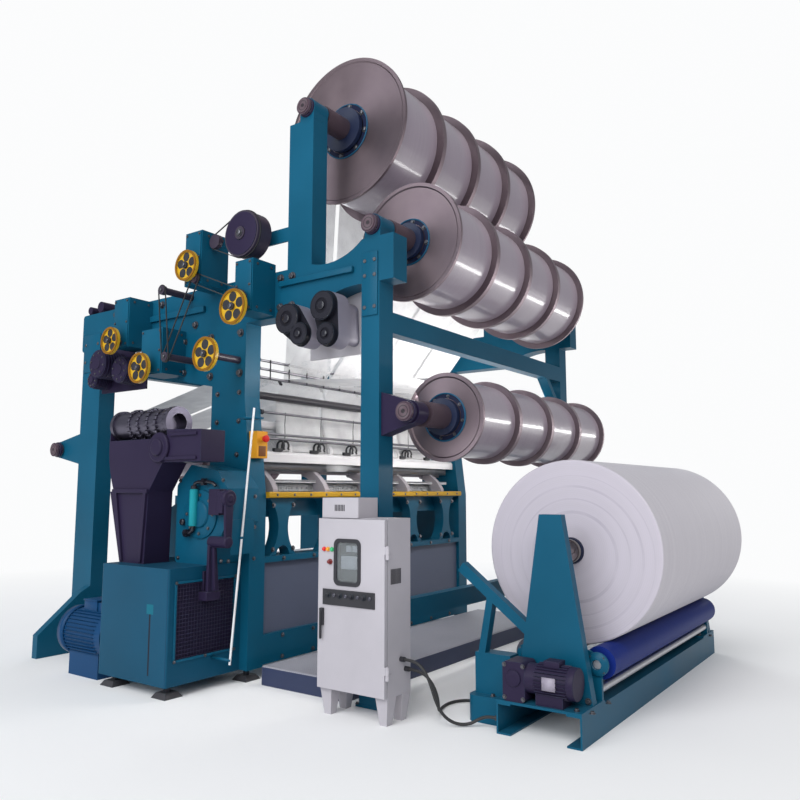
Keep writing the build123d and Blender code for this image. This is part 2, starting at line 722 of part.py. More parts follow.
def belt_loop(x, start, finish, low_radius, high_radius):
    """A belt run round two discs, as the band between two hulls."""
    rings = []
    for grow in (seat_gap + belt_thick, seat_gap):
        with BuildSketch(across(x)) as hull:
            with BuildLine() as outline:
                CenterArc(start, low_radius + grow, 0, 360)
                CenterArc(finish, high_radius + grow, 0, 360)
            make_hull(outline.edges())
        rings.append(hull.sketch)
    extrude(rings[0] - rings[1], amount=belt_width)


belt_step = 9
belt_x = sheave_high_x - belt_width
with BuildPart() as drive_belts:
    belt_loop(belt_x, sheave_a, sheave_b, sheave_radius, sheave_radius)
    belt_loop(belt_x - belt_step, sheave_a, sheave_c, sheave_radius, sheave_radius)
    belt_loop(belt_x - 2 * belt_step, sheave_d, sheave_c, sheave_radius, sheave_radius)
    belt_loop(brake_belt_x, (drum_y, brake_z), (small_y, brake_z), brake_radius, small_radius)
save(drive_belts, "drive_belts")

# Motors hung from the rear of the crossbeam, and two small ones on top of it

hung_plate_thick = 16
hung_front, hung_rear = 440, 985
hung_foot, hung_shoulder = crossbeam_z - 360, crossbeam_z - 85
box_clear = 10
hung_motors = (
    (548, crossbeam_z - 230, 96, 150), (760, crossbeam_z - 170, 104, 190),
    (912, crossbeam_z - 272, 62, 130),
)
top_motors = ((1085, 42, 210), (1225, 30, 90))
with BuildPart() as crossbeam_motors:
    plate(-frame_half - hung_plate_thick, -frame_half, [
        (hung_front, hung_foot), (hung_rear, hung_foot), (hung_rear, crossbeam_z + 60),
        (box_list[2][2] + box_clear, crossbeam_z + 60), (box_list[2][2] + box_clear, hung_shoulder),
        (hung_front, hung_shoulder)])
    for y, z, radius, length in hung_motors:
        disc(-frame_half - hung_plate_thick - length, -frame_half - hung_plate_thick, y, z, radius)
    for y, radius, length in top_motors:
        z = crossbeam_top + radius + 8
        disc(-frame_half + 4, -frame_half + 4 + length, y, z, radius)
        bar(-frame_half + 10, min(-frame_half + length, -frame_inner - 4), y - radius * 0.7,
            y + radius * 0.7, crossbeam_top, z)
save(crossbeam_motors, "crossbeam_motors")

# Let-off motors under the arm: two twin units on a hanger plate

unit_length, cap_depth, neck_step = 109, 34, 38
unit_low_x, unit_high_x = -frame_half - unit_length, -frame_inner
twin_units = (
    ((-1092, crossbeam_z - 65, 100), (-1190, crossbeam_z - 168, 76)),
    ((-1372, crossbeam_z - 22, 96), (-1402, crossbeam_z - 194, 74)),
)
hanger_front, hanger_rear, hanger_drop, hanger_rise = -1450, -1040, 280, 210
with BuildPart() as let_off_motors:
    for upper, lower in twin_units:
        with BuildSketch(across(unit_low_x)) as body:
            with BuildLine() as outline:
                for y, z, radius in (upper, lower):
                    CenterArc((y, z), radius, 0, 360)
            make_hull(outline.edges())
        extrude(body.sketch, amount=-frame_half - unit_low_x)
        with BuildSketch(across(-frame_half)) as neck:
            with BuildLine() as outline:
                for y, z, radius in (upper, lower):
                    CenterArc((y, z), radius - neck_step, 0, 360)
            make_hull(outline.edges())
        extrude(neck.sketch, amount=unit_high_x + frame_half)
    for upper, lower in twin_units:
        for y, z, radius in (upper, lower):
            disc(unit_low_x - cap_depth, unit_low_x, y, z, radius - 7)
    bar(-frame_inner, -frame_inner + panel_thick, hanger_front, hanger_rear,
        crossbeam_z - hanger_drop, crossbeam_z + hanger_rise)
save(let_off_motors, "let_off_motors")

# Stop box on the drive-end column and the conduit that leans on its front edge

lean = (head_front - bed_front) / (slope_top - bed_top)
box_z, box_height, box_width, box_depth = 1395, 175, 96, 52


def column_front(z):
    """Front edge of the end frame at a height."""
    return bed_front + lean * (z - bed_top)


with BuildPart() as stop_box:
    plate(-frame_half + 20, -frame_half + 20 + box_width, [
        (column_front(box_z), box_z), (column_front(box_z + box_height), box_z + box_height),
        (column_front(box_z) - box_depth, box_z + box_height), (column_front(box_z) - box_depth, box_z)])
    with BuildSketch(along(column_front(box_z) - box_depth)) as button:
        with Locations((-frame_half + 20 + box_width / 2, box_z + box_height - 50)):
            Circle(20)
    extrude(button.sketch, amount=18)
save(stop_box, "stop_box")

# Footboard in front of the bed

board_height, board_front, board_rear, board_inset = 116, -1450, -780, 21
with BuildPart() as footboard:
    bar(board_inset - frame_half, frame_half, board_front, board_rear, 0, board_height)
    chamfer(footboard.faces().sort_by(Axis.Z)[-1].edges(), length=8)
save(footboard, "footboard")

# Guide beam between the front posts, which the cloth passes on its way to the batcher

guide_y, guide_depth, guide_low_z, guide_high_z = -1650, 70, 430, 545
with BuildPart() as guide_frame:
    bar(-frame_inner, frame_inner, guide_y, guide_y + guide_depth, guide_low_z, guide_high_z)
save(guide_frame, "guide_frame")

# Batcher: channels, end plates, A-plates, roller plates, rollers, roll, core and gear motor

end_plate_length = 300
plate_foot_z = channel_height + plate_thick
with BuildPart() as batcher_base:
    for y_outer, inward in ((rear_channel_y, -1), (front_channel_y, 1)):
        web = y_outer + inward * channel_wall
        lip = y_outer + inward * channel_width
        plate(channel_near, channel_far, [
            (y_outer, 0), (lip, 0), (lip, channel_wall), (web, channel_wall),
            (web, channel_height - channel_wall), (lip, channel_height - channel_wall),
            (lip, channel_height), (y_outer, channel_height)])
    for x in (channel_near, channel_far - end_plate_length):
        bar(x, x + end_plate_length, front_channel_y, rear_channel_y, channel_height, plate_foot_z)
save(batcher_base, "batcher_base")

a_plate_foot, a_plate_head, a_plate_top, a_plate_thick = 200, 60, 1066, 52
a_plate_near, a_plate_far = 191 - frame_half, frame_half - 181
roller_z = roll_z - sqrt((roll_radius + roller_radius + seat_gap) ** 2 - roller_spread ** 2)
journal_radius = 22
roller_plate_near, roller_plate_far, roller_plate_thick = 299 - frame_half, frame_half - 289, 20
roller_places = (roll_y - roller_spread, roll_y + roller_spread)
spreader_root_y, spreader_tip_y, spreader_root_z, spreader_tip_z = roll_y + 130, -2105, 475, 778
spreader_depth, leg_depth = 66, 40
housing_rear, housing_width, housing_top = -2190, 95, 340
pedestal_rear, pedestal_width, pedestal_height, pedestal_round = -2170, 182, 132, 40


def spreader(x0, x1, box_x, foot_x):
    """Arm that leans out over the cloth's path, its leg, and the housing and pedestal under the leg."""
    rise = spreader_depth / 2
    plate(x0, x1, [
        (spreader_root_y, spreader_root_z - rise), (spreader_tip_y + 18, spreader_tip_z - 22),
        (spreader_tip_y - 16, spreader_tip_z + 22), (spreader_root_y, spreader_root_z + rise)])
    leg_y = (rear_channel_y + housing_rear) / 2 + 44
    plate(x0, x1, [
        (leg_y, housing_top), (leg_y + leg_depth, housing_top),
        (leg_y - 16, housing_top + 300), (leg_y - 16 - leg_depth, housing_top + 300)])
    bar(box_x, box_x + housing_width, rear_channel_y, housing_rear, pedestal_height, housing_top)
    with BuildSketch(level(0)) as pedestal:
        with Locations((foot_x + pedestal_width / 2, (rear_channel_y + pedestal_rear) / 2)):
            RectangleRounded(pedestal_width, pedestal_rear - rear_channel_y, pedestal_round)
    extrude(pedestal.sketch, amount=pedestal_height)


for end, stand_x, plate_x in (("near", a_plate_near, roller_plate_near),
                              ("far", a_plate_far - a_plate_thick, roller_plate_far - roller_plate_thick)):
    with BuildPart() as stand:
        plate(stand_x, stand_x + a_plate_thick, [
            (roll_y - a_plate_foot, plate_foot_z), (roll_y + a_plate_foot, plate_foot_z),
            (roll_y + a_plate_head, a_plate_top), (roll_y - a_plate_head, a_plate_top)])
        if end == "near":
            spreader(stand_x, stand_x + a_plate_thick, stand_x, stand_x - 57)
        else:
            edge = stand_x + a_plate_thick
            spreader(stand_x, edge, edge - housing_width, edge + 57 - pedestal_width)
        plate(plate_x, plate_x + roller_plate_thick, [
            (front_channel_y, plate_foot_z), (rear_channel_y, plate_foot_z),
            (rear_channel_y, roller_z + 20), (rear_channel_y - 60, roller_z + 60),
            (front_channel_y + 60, roller_z + 60), (front_channel_y, roller_z + 20)])
        for y in roller_places:
            disc(plate_x, plate_x + roller_plate_thick, y, roller_z, journal_radius + bore_gap,
                 mode=Mode.SUBTRACT)
    save(stand, "batcher_" + end + "_stand")

for name, y in zip(("front_roller", "back_roller"), roller_places):
    with BuildPart() as roller:
        disc(roller_plate_near - 6, roller_plate_far + 6, y, roller_z, journal_radius)
        disc(roller_plate_near + roller_plate_thick + 12, roller_plate_far - roller_plate_thick - 12,
             y, roller_z, roller_radius)
    save(roller, name)

with BuildPart() as fabric_roll:
    disc(roll_near, roll_far, roll_y, roll_z, roll_radius)
    fillet(fabric_roll.edges().filter_by(GeomType.CIRCLE), radius=10)
    disc(roll_near - core_reach, roll_far + core_reach, roll_y, roll_z, core_radius)
    for x in (roll_near - core_reach, roll_far + core_reach - core_depth):
        disc(x, x + core_depth, roll_y, roll_z, core_radius - core_wall, mode=Mode.SUBTRACT)
save(fabric_roll, "fabric_roll")

gear_inset, gear_y, gear_z = 99, -2490, plate_foot_z + 112
gear_x = gear_inset - frame_half
drive_motor_length, batcher_motor_radius = 250, 72
with BuildPart() as batcher_drive:
    bar(gear_x - 62, gear_x + 70, gear_y - 60, gear_y + 60, plate_foot_z, plate_foot_z + 190)
    fillet(batcher_drive.edges().filter_by(Axis.X), radius=22)
    disc(gear_x + 70, a_plate_near, gear_y, gear_z, 34)
    with BuildSketch(along(gear_y - 60)) as body:
        with Locations((gear_x, gear_z)):
            Circle(batcher_motor_radius)
    extrude(body.sketch, amount=drive_motor_length)
    bar(gear_x - 50, gear_x + 50, gear_y - drive_motor_length, gear_y - 110,
        plate_foot_z, gear_z - 50)
save(batcher_drive, "batcher_drive")

# Control cabinet: shell, door on two pin hinges, window, top unit, legs and cable glands

shell_front_x = cabinet_front_x + door_thick + door_gap
leg_root, leg_tip = 78, 44
pin_radius, pin_gap, knuckle_radius = 6, 0.05, 11
hinge_x = cabinet_front_x + door_thick / 2
hinge_y = cabinet_right_y - knuckle_radius
hinge_heights = (cabinet_bottom + 120, cabinet_top - 180)
knuckle_height, leaf_drop, leaf_lap, leaf_gap = 40, 26, 30, 1
with BuildPart() as cabinet_body:
    bar(shell_front_x, cabinet_back_x, cabinet_right_y, cabinet_left_y, cabinet_bottom, cabinet_top)
    bar(shell_front_x, cabinet_back_x - cabinet_wall, cabinet_right_y + cabinet_wall,
        cabinet_left_y - cabinet_wall, cabinet_bottom + cabinet_wall, cabinet_top - cabinet_wall,
        mode=Mode.SUBTRACT)
    for x in (shell_front_x + leg_root / 2, cabinet_back_x - leg_root / 2):
        for y in (cabinet_right_y + leg_root / 2, cabinet_left_y - leg_root / 2):
            with BuildSketch(level(0)) as toe:
                with Locations((x, y)):
                    Rectangle(leg_tip, leg_tip)
            with BuildSketch(level(cabinet_bottom)) as root:
                with Locations((x, y)):
                    Rectangle(leg_root, leg_root)
            loft([toe.sketch, root.sketch])
    for z in hinge_heights:
        with BuildSketch(level(z - leaf_drop)) as leaf:
            with Locations((hinge_x, hinge_y)):
                Circle(knuckle_radius)
            with Locations(((hinge_x + shell_front_x + leaf_lap) / 2, cabinet_right_y - 3)):
                Rectangle(shell_front_x + leaf_lap - hinge_x, 6)
        extrude(leaf.sketch, amount=leaf_drop - 0.5)
        with BuildSketch(level(z - 0.5)) as pin:
            with Locations((hinge_x, hinge_y)):
                Circle(pin_radius)
        extrude(pin.sketch, amount=knuckle_height + 4)
save(cabinet_body, "cabinet_body")

window_low_y, window_high_y, window_low_z, window_high_z = -1740, -1590, 700, 915
window_frame, window_thick = 16, 6
door_low_z, door_high_z = cabinet_bottom + 4, cabinet_top - 4
with BuildPart() as cabinet_door:
    bar(cabinet_front_x, cabinet_front_x + door_thick, cabinet_right_y, cabinet_left_y,
        door_low_z, door_high_z)
    bar(cabinet_front_x, cabinet_front_x + door_thick, window_low_y, window_high_y,
        window_low_z, window_high_z, mode=Mode.SUBTRACT)
    for z in hinge_heights:
        bar(cabinet_front_x, cabinet_front_x + door_thick, cabinet_right_y, cabinet_right_y + leaf_gap,
            z - leaf_drop - leaf_gap, z, mode=Mode.SUBTRACT)
        with BuildSketch(level(z)) as knuckle:
            with Locations((hinge_x, hinge_y)):
                Circle(knuckle_radius)
            with Locations((hinge_x, cabinet_right_y - 3)):
                Rectangle(door_thick, 6)
            with Locations((hinge_x, hinge_y)):
                Circle(pin_radius + pin_gap, mode=Mode.SUBTRACT)
        extrude(knuckle.sketch, amount=knuckle_height)
save(cabinet_door, "cabinet_door")

strip_low_y, strip_high_y, strip_low_z, strip_high_z = -1850, -1500, 580, 662
with BuildPart() as cabinet_door_trim:
    with BuildSketch(across(cabinet_front_x - 5)) as surround:
        with Locations(((window_low_y + window_high_y) / 2, (window_low_z + window_high_z) / 2)):
            RectangleRounded(window_high_y - window_low_y + 2 * window_frame,
                             window_high_z - window_low_z + 2 * window_frame, 34)
            RectangleRounded(window_high_y - window_low_y - 8, window_high_z - window_low_z - 8, 22,
                             mode=Mode.SUBTRACT)
    extrude(surround.sketch, amount=5)
    bar(cabinet_front_x - 6, cabinet_front_x, strip_low_y, strip_high_y, strip_low_z, strip_high_z)
save(cabinet_door_trim, "cabinet_door_trim")

with BuildPart() as window_glass:
    bar(cabinet_front_x + 2, cabinet_front_x + 2 + window_thick, window_low_y, window_high_y,
        window_low_z, window_high_z)
save(window_glass, "cabinet_window_glass")

with BuildPart() as cabinet_top_unit:
    bar(cabinet_front_x + 14, cabinet_back_x - 40, -1724, -1470, cabinet_top, cabinet_top + 108)
    fillet(cabinet_top_unit.edges().filter_by(Axis.Z), radius=8)
save(cabinet_top_unit, "cabinet_top_unit")

# Two cables from the cabinet's side over the floor to the rear channel of the batcher

cable_radius = 8
gland_radius, gland_length = 13, 26
gland_y = cabinet_right_y - gland_length
channel_gland_y = rear_channel_y + gland_length
cable_a_corners = [
    (-101, gland_y, 318), (-101, -1992, 318), (-100, -2044, 294), (-97, -2078, 246), (-91, -2098, 190),
    (-80, -2112, 132), (-60, -2130, 78), (-30, -2158, 36), (8, -2194, 13), (44, -2238, 14),
    (64, -2282, 42), (71, -2325, 60), (71, channel_gland_y, 60),
]
cable_b_corners = [
    (-59, gland_y, 262), (-59, -1994, 262), (-55, -2048, 238), (-43, -2080, 190), (-19, -2084, 138),
    (19, -2066, 90), (71, -2034, 48), (139, -1996, 18), (217, -1962, 10), (301, -1944, 9),
    (381, -1958, 10), (435, -2008, 9), (451, -2076, 10), (435, -2144, 9), (399, -2208, 16),
    (365, -2262, 40), (349, -2316, 60), (349, channel_gland_y, 60),
]
cable_a_route = [(x - frame_half, y, z) for x, y, z in cable_a_corners]
cable_b_route = [(x - frame_half, y, z) for x, y, z in cable_b_corners]


def corner_radii(route):
    """Bend radii of a route, each as large as its two runs allow."""
    radii = []
    for before, point, after in zip(route, route[1:], route[2:]):
        run_in, run_out = Vector(*point) - Vector(*before), Vector(*after) - Vector(*point)
        half_turn = radians(run_in.get_angle(run_out)) / 2
        radii.append(0.45 * min(run_in.length, run_out.length) / tan(half_turn))
    return radii


def cable(name, route):
    radii = corner_radii(route)
    print(name, "bend radii", [round(radius) for radius in radii])
    with BuildPart() as lead:
        with BuildLine() as path:
            FilletPolyline(*[place(*point) for point in route], radius=radii)
        spine = path.wires()[0]
        with BuildSketch(Plane(origin=spine @ 0, z_dir=spine % 0)):
            Circle(cable_radius)
        sweep()
    print(name, "length", round(spine.length), "volume error",
          round(lead.part.volume / (spine.length * pi * cable_radius ** 2) - 1, 4))
    save(lead, name)


cable("cabinet_cable_a", cable_a_route)
cable("cabinet_cable_b", cable_b_route)

with BuildPart() as cable_glands:
    for route in (cable_a_route, cable_b_route):
        for (x, y, z), face_y in ((route[0], cabinet_right_y), (route[-1], channel_gland_y)):
            with BuildSketch(along(face_y)) as gland:
                with Locations((x, z)):
                    Circle(gland_radius)
            extrude(gland.sketch, amount=gland_length)
save(cable_glands, "cable_glands")
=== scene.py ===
import bpy
import numpy as np
from mathutils import Matrix, Vector


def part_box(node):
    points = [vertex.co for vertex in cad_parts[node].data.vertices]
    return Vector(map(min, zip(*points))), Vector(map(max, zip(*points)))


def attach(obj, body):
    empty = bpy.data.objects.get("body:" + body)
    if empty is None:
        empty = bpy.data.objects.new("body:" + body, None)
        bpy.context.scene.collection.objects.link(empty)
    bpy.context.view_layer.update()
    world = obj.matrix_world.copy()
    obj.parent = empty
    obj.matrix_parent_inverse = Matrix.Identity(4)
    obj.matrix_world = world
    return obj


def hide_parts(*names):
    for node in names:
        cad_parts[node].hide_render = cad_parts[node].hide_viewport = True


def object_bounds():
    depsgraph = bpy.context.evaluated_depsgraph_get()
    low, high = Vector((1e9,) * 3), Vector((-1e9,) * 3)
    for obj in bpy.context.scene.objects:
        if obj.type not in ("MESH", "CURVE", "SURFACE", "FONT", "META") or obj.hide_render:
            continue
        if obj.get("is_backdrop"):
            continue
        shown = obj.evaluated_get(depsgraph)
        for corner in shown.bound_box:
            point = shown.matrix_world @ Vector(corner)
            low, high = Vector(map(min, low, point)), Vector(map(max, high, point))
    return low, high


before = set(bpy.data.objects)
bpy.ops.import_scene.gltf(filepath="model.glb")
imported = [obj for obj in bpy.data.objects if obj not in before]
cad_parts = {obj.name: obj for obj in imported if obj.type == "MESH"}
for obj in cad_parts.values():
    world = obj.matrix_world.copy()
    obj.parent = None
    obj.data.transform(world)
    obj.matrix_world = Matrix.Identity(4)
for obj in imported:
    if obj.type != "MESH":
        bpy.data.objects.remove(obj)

scene = bpy.context.scene
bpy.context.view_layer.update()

# The middle of the bed, from the end frames; places below are in millimetres from it
bedX = float(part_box("drive_end_frame")[0][0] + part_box("far_end_frame")[1][0]) / 2
bedY = float(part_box("drive_end_frame")[0][1]) + 0.670


def toFrame(points):
    # millimetres from the bed's middle to metres in the row frame
    return np.asarray(points, float) / 1000 + np.array([bedX, bedY, 0.0])


def boxOf(node):
    # low and high corners of a CAD node, in millimetres from the bed's middle
    return [(np.array(corner, float) - (bedX, bedY, 0.0)) * 1000 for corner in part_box(node)]


# Camera and stage
cameraView = {
    "place": (-4756, -4230, 1190), "forward": (0.81143, 0.57215, 0.11929),
    "right": (0.57627, -0.81726, 0.0), "lens": 33.71, "sensor": 36, "clip": (0.05, 100),
}


def placeCamera(values):
    forward = Vector(values["forward"]).normalized()
    right = Vector(values["right"]).normalized()
    turn = Matrix((right, right.cross(forward), -forward)).transposed().to_4x4()
    data = bpy.data.cameras.new("photoCamera")
    data.lens, data.sensor_width = values["lens"], values["sensor"]
    data.clip_start, data.clip_end = values["clip"]
    camera = bpy.data.objects.new("photoCamera", data)
    scene.collection.objects.link(camera)
    camera.matrix_world = Matrix.Translation(Vector(toFrame(values["place"]))) @ turn
    scene.camera = camera


placeCamera(cameraView)

# Mesh tools: everything is worked out as whole arrays and put in one mesh
sharpAngle = 0.7
cubeCorners = np.array([
    (0, 0, 0), (1, 0, 0), (1, 1, 0), (0, 1, 0),
    (0, 0, 1), (1, 0, 1), (1, 1, 1), (0, 1, 1)])
cubeFaces = np.array([(0, 3, 2, 1), (4, 5, 6, 7), (0, 1, 5, 4), (1, 2, 6, 5), (2, 3, 7, 6), (3, 0, 4, 7)])


def addPiece(name, verts, faces, material, body, slotName, smooth=False, bevel=0.0):
    # verts is one array; faces is a list of arrays, each with its own corner count
    groups = [np.asarray(g, np.int32) for g in faces if len(g)]
    counts = np.concatenate([np.full(len(g), g.shape[1], np.int32) for g in groups])
    corners = np.concatenate([g.ravel() for g in groups])
    mesh = bpy.data.meshes.new(name)
    mesh.vertices.add(len(verts))
    mesh.vertices.foreach_set("co", np.asarray(verts, np.float32).ravel())
    mesh.loops.add(len(corners))
    mesh.loops.foreach_set("vertex_index", corners)
    mesh.polygons.add(len(counts))
    mesh.polygons.foreach_set("loop_start", np.concatenate([[0], np.cumsum(counts)[:-1]]).astype(np.int32))
    mesh.polygons.foreach_set("loop_total", counts)
    mesh.update(calc_edges=True)
    mesh.validate()
    if smooth:
        mesh.polygons.foreach_set("use_smooth", np.ones(len(counts), bool))
        mesh.set_sharp_from_angle(angle=sharpAngle)
    mesh.materials.append(material)
    piece = bpy.data.objects.new(name, mesh)
    scene.collection.objects.link(piece)
    if bevel:
        edge = piece.modifiers.new("edge", "BEVEL")
        edge.width, edge.segments, edge.limit_method = bevel, 2, "ANGLE"
    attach(piece, body)
    return piece


def joined(parts):
    # several (verts, faces) pairs as one pair; the faces keep their corner counts in groups
    verts, groups, base = [], {}, 0
    for v, faces in parts:
        for g in faces:
            groups.setdefault(g.shape[1], []).append(g + base)
        verts.append(v)
        base += len(v)
    return np.concatenate(verts), [np.concatenate(g) for g in groups.values()]


def repeated(part, offsets):
    # one part copied to each offset, as one broadcast
    verts, faces = part
    offsets = np.asarray(offsets, float).reshape(-1, 3)
    step = (np.arange(len(offsets)) * len(verts))[:, None, None]
    return (verts + offsets[:, None]).reshape(-1, 3), [(g + step).reshape(-1, g.shape[1]) for g in faces]


def sixSided(corners):
    # many blocks, each from eight corners in the order of cubeCorners
    step = (np.arange(len(corners)) * 8)[:, None, None]
    return corners.reshape(-1, 3), [(cubeFaces + step).reshape(-1, 4)]


def boxes(low, high):
    # square blocks between arrays of low and high corners
    low, high = np.atleast_2d(np.asarray(low, float)), np.atleast_2d(np.asarray(high, float))
    return sixSided(low[:, None] + (high - low)[:, None] * cubeCorners)


def grid(*axes):
    # every combination of the values along three axes, as points
    mesh = np.meshgrid(*[np.atleast_1d(np.asarray(a, float)) for a in axes], indexing="ij")
    return np.stack([m.ravel() for m in mesh], -1)


def blocks(points, size):
    # equal square blocks centred on many points
    return boxes(points - np.array(size) / 2, points + np.array(size) / 2)


def frameOf(axis):
    # two directions square to an axis, so that (first, second, axis) is right-handed
    axis = np.asarray(axis, float) / np.linalg.norm(axis)
    seed = np.array([0.0, 0, 1]) if abs(axis[2]) < 0.9 else np.array([1.0, 0, 0])
    first = np.cross(seed, axis)
    first /= np.linalg.norm(first)
    return first, np.cross(axis, first), axis


def circle(sides):
    a = np.linspace(0, 2 * np.pi, sides, endpoint=False)
    return np.cos(a)[:, None], np.sin(a)[:, None]


def netQuads(rows, sides, closed=False):
    # quads of a net that wraps round its sides, and round its rows too when it is closed
    i, j = np.meshgrid(np.arange(rows if closed else rows - 1), np.arange(sides), indexing="ij")
    m, n = (i + 1) % rows, (j + 1) % sides
    return np.stack([i * sides + j, i * sides + n, m * sides + n, m * sides + j], -1).reshape(-1, 4)


def revolved(profile, origin, axis, sides):
    # a point of the profile is (distance along the axis, radius), and the surface is
    # origin + along * axis + radius * (cos a * first + sin a * second)
    first, second, axis = frameOf(axis)
    cosines, sines = circle(sides)
    ring = cosines * first + sines * second
    along, radius = profile[:, 0, None, None], profile[:, 1, None, None]
    return (np.asarray(origin) + along * axis + radius * ring).reshape(-1, 3)


def turned(profile, origin, axis, sides=48):
    # solid of revolution: the revolved profile, closed by a fan of triangles at each end
    profile = np.asarray(profile, float)
    verts = revolved(profile, origin, axis, sides)
    k = np.arange(sides)
    n, last, centre = (k + 1) % sides, (len(profile) - 1) * sides, np.full(sides, len(verts))
    fans = [np.stack([n, k, centre], -1), np.stack([last + k, last + n, centre + 1], -1)]
    centres = np.asarray(origin) + profile[[0, -1], :1] * frameOf(axis)[2]
    return np.concatenate([verts, centres]), [netQuads(len(profile), sides)] + fans


def ringTurned(profile, origin, axis, sides=48):
    # closed profile carried round the axis; its order is turned so that the ring faces outwards
    profile = np.asarray(profile, float)
    along, out = profile.T
    if np.sum(along * np.roll(out, -1) - np.roll(along, -1) * out) > 0:
        profile = profile[::-1]
    return revolved(profile, origin, axis, sides), [netQuads(len(profile), sides, True)]


def tubeAlong(points, radius, sides=10):
    # round tube along a line of points: at each point a circle square to the mean of its two runs
    points = np.asarray(points, float)
    runs = np.diff(points, axis=0)
    runs /= np.linalg.norm(runs, axis=1)[:, None]
    tangents = np.concatenate([runs[:1], runs[:-1] + runs[1:], runs[-1:]])
    tangents /= np.linalg.norm(tangents, axis=1)[:, None]
    first, firsts = frameOf(tangents[0])[0], []
    for tangent in tangents:
        first = first - tangent * np.dot(first, tangent)
        first = first / np.linalg.norm(first)
        firsts.append(first)
    firsts = np.array(firsts)
    seconds = np.cross(tangents, firsts)
    cosines, sines = circle(sides)
    verts = points[:, None] + radius * (cosines * firsts[:, None] + sines * seconds[:, None])
    k = np.arange(sides)[None]
    ends = [k[:, ::-1], (len(points) - 1) * sides + k]
    return verts.reshape(-1, 3), [netQuads(len(points), sides)] + ends


def hexHeads(points, axis, size, height):
    # hexagon heads with a chamfered top on a round washer, at many points with one axis
    first, second, axis = frameOf(axis)

    def layer(sides, radius, rise):
        cosines, sines = circle(sides)
        return radius * size * (cosines * first + sines * second) + rise * height * axis

    single = np.concatenate([layer(12, 0.82, 0), layer(12, 0.82, 0.18), layer(6, 0.58, 0.18),
                             layer(6, 0.58, 0.86), layer(6, 0.48, 1)])
    twelve, six = np.arange(12)[None], np.arange(6)[None]
    faces = [netQuads(2, 12), 24 + netQuads(3, 6), 12 + twelve, twelve[:, ::-1], 36 + six, 24 + six[:, ::-1]]
    return repeated((single, faces), points)


def plateOf(outline, low, high, axis="x"):
    # flat plate: an outline in the two other axes carried from low to high along the named axis
    outline = np.asarray(outline, float)
    count = len(outline)
    place = {"x": (0, 1, 2), "y": (1, 0, 2)}[axis]
    verts = np.zeros((2 * count, 3))
    verts[:, place[0]] = np.repeat((low, high), count)
    verts[:, place[1:]] = np.tile(outline, (2, 1))
    u, v = outline.T
    k, m = np.arange(count), (np.arange(count) + 1) % count
    faces = [np.stack([k, m, count + m, count + k], -1), k[None, ::-1], count + k[None]]
    if (np.sum(u * np.roll(v, -1) - np.roll(u, -1) * v) > 0) == (axis == "y"):
        faces = [f[:, ::-1] for f in faces]
    return verts, faces


print("mesh tools ready")

# Shader trees: short ways to draw them


class Wire:
    # an output in a tree; + - * / < > with numbers or other wires add Math nodes
    def __init__(self, sheet, socket):
        self.sheet, self.socket = sheet, socket

    def math(self, operation, *others, clamp=False):
        return self.sheet.math(operation, self, *others, clamp=clamp)

    def __add__(self, other):
        return self.math("ADD", other)

    def __sub__(self, other):
        return self.math("SUBTRACT", other)

    def __rsub__(self, other):
        return self.sheet.math("SUBTRACT", other, self)

    def __mul__(self, other):
        return self.math("MULTIPLY", other)

    def __truediv__(self, other):
        return self.math("DIVIDE", other)

    def __gt__(self, other):
        return self.math("GREATER_THAN", other)

    def __lt__(self, other):
        return self.math("LESS_THAN", other)

    def between(self, low, high):
        return (self > low) * (self < high)


class Sheet:
    # a shader tree; add() makes a node, sets its fields, feeds its inputs and gives one output
    def __init__(self, tree):
        self.tree = tree

    def feed(self, socket, value):
        # a wire is linked; a number or a colour becomes the socket's own constant
        if isinstance(value, Wire):
            self.tree.links.new(value.socket, socket)
        else:
            socket.default_value = (*value, 1.0) if socket.type == "RGBA" else value

    def add(self, kind, key, inputs=None, **fields):
        node = self.tree.nodes.new("ShaderNode" + kind)
        for name, value in fields.items():
            setattr(node, name, value)
        for name, value in (inputs or {}).items():
            self.feed(node.inputs[name], value)
        return Wire(self, node.outputs[key])

    def math(self, operation, *values, clamp=False):
        return self.add("Math", 0, dict(enumerate(values)), operation=operation, use_clamp=clamp)

    def mix(self, mask, first, second):
        return self.add("Mix", 2, {0: mask, 6: first, 7: second}, data_type="RGBA")

    def group(self, tree, **values):
        # a shared group, fed by socket name; gives its outputs by name
        first = self.add("Group", 0, {key.replace("_", " "): v for key, v in values.items()}, node_tree=tree)
        return {socket.name: Wire(self, socket) for socket in first.socket.node.outputs}

    def place(self):
        return self.add("TexCoord", "Object")

    def along(self, axis):
        return self.add("SeparateXYZ", axis, {0: self.place()})

    def normal(self):
        return self.add("NewGeometry", "Normal")

    def facing(self, axis):
        return self.add("SeparateXYZ", axis, {0: self.normal()})

    def noise(self, place, scale, detail):
        return self.add("TexNoise", "Fac", {"Vector": place, "Scale": scale, "Detail": detail})


class Shared(Sheet):
    # a node group with named sockets; given holds its inputs
    def __init__(self, name, inputs, outputs):
        super().__init__(bpy.data.node_groups.new(name, "ShaderNodeTree"))
        sockets = self.tree.interface
        for label, value in inputs.items():
            kind = "NodeSocketVector" if isinstance(value, tuple) else "NodeSocketFloat"
            sockets.new_socket(name=label, in_out="INPUT", socket_type=kind).default_value = value
        for label in outputs:
            sockets.new_socket(name=label, in_out="OUTPUT", socket_type="NodeSocketFloat")
        node = self.tree.nodes.new("NodeGroupInput")
        self.given = {label: Wire(self, node.outputs[label]) for label in inputs}
        self.outputs = self.tree.nodes.new("NodeGroupOutput").inputs

    def give(self, **values):
        for label, wire in values.items():
            self.feed(self.outputs[label], wire)
        return self.tree


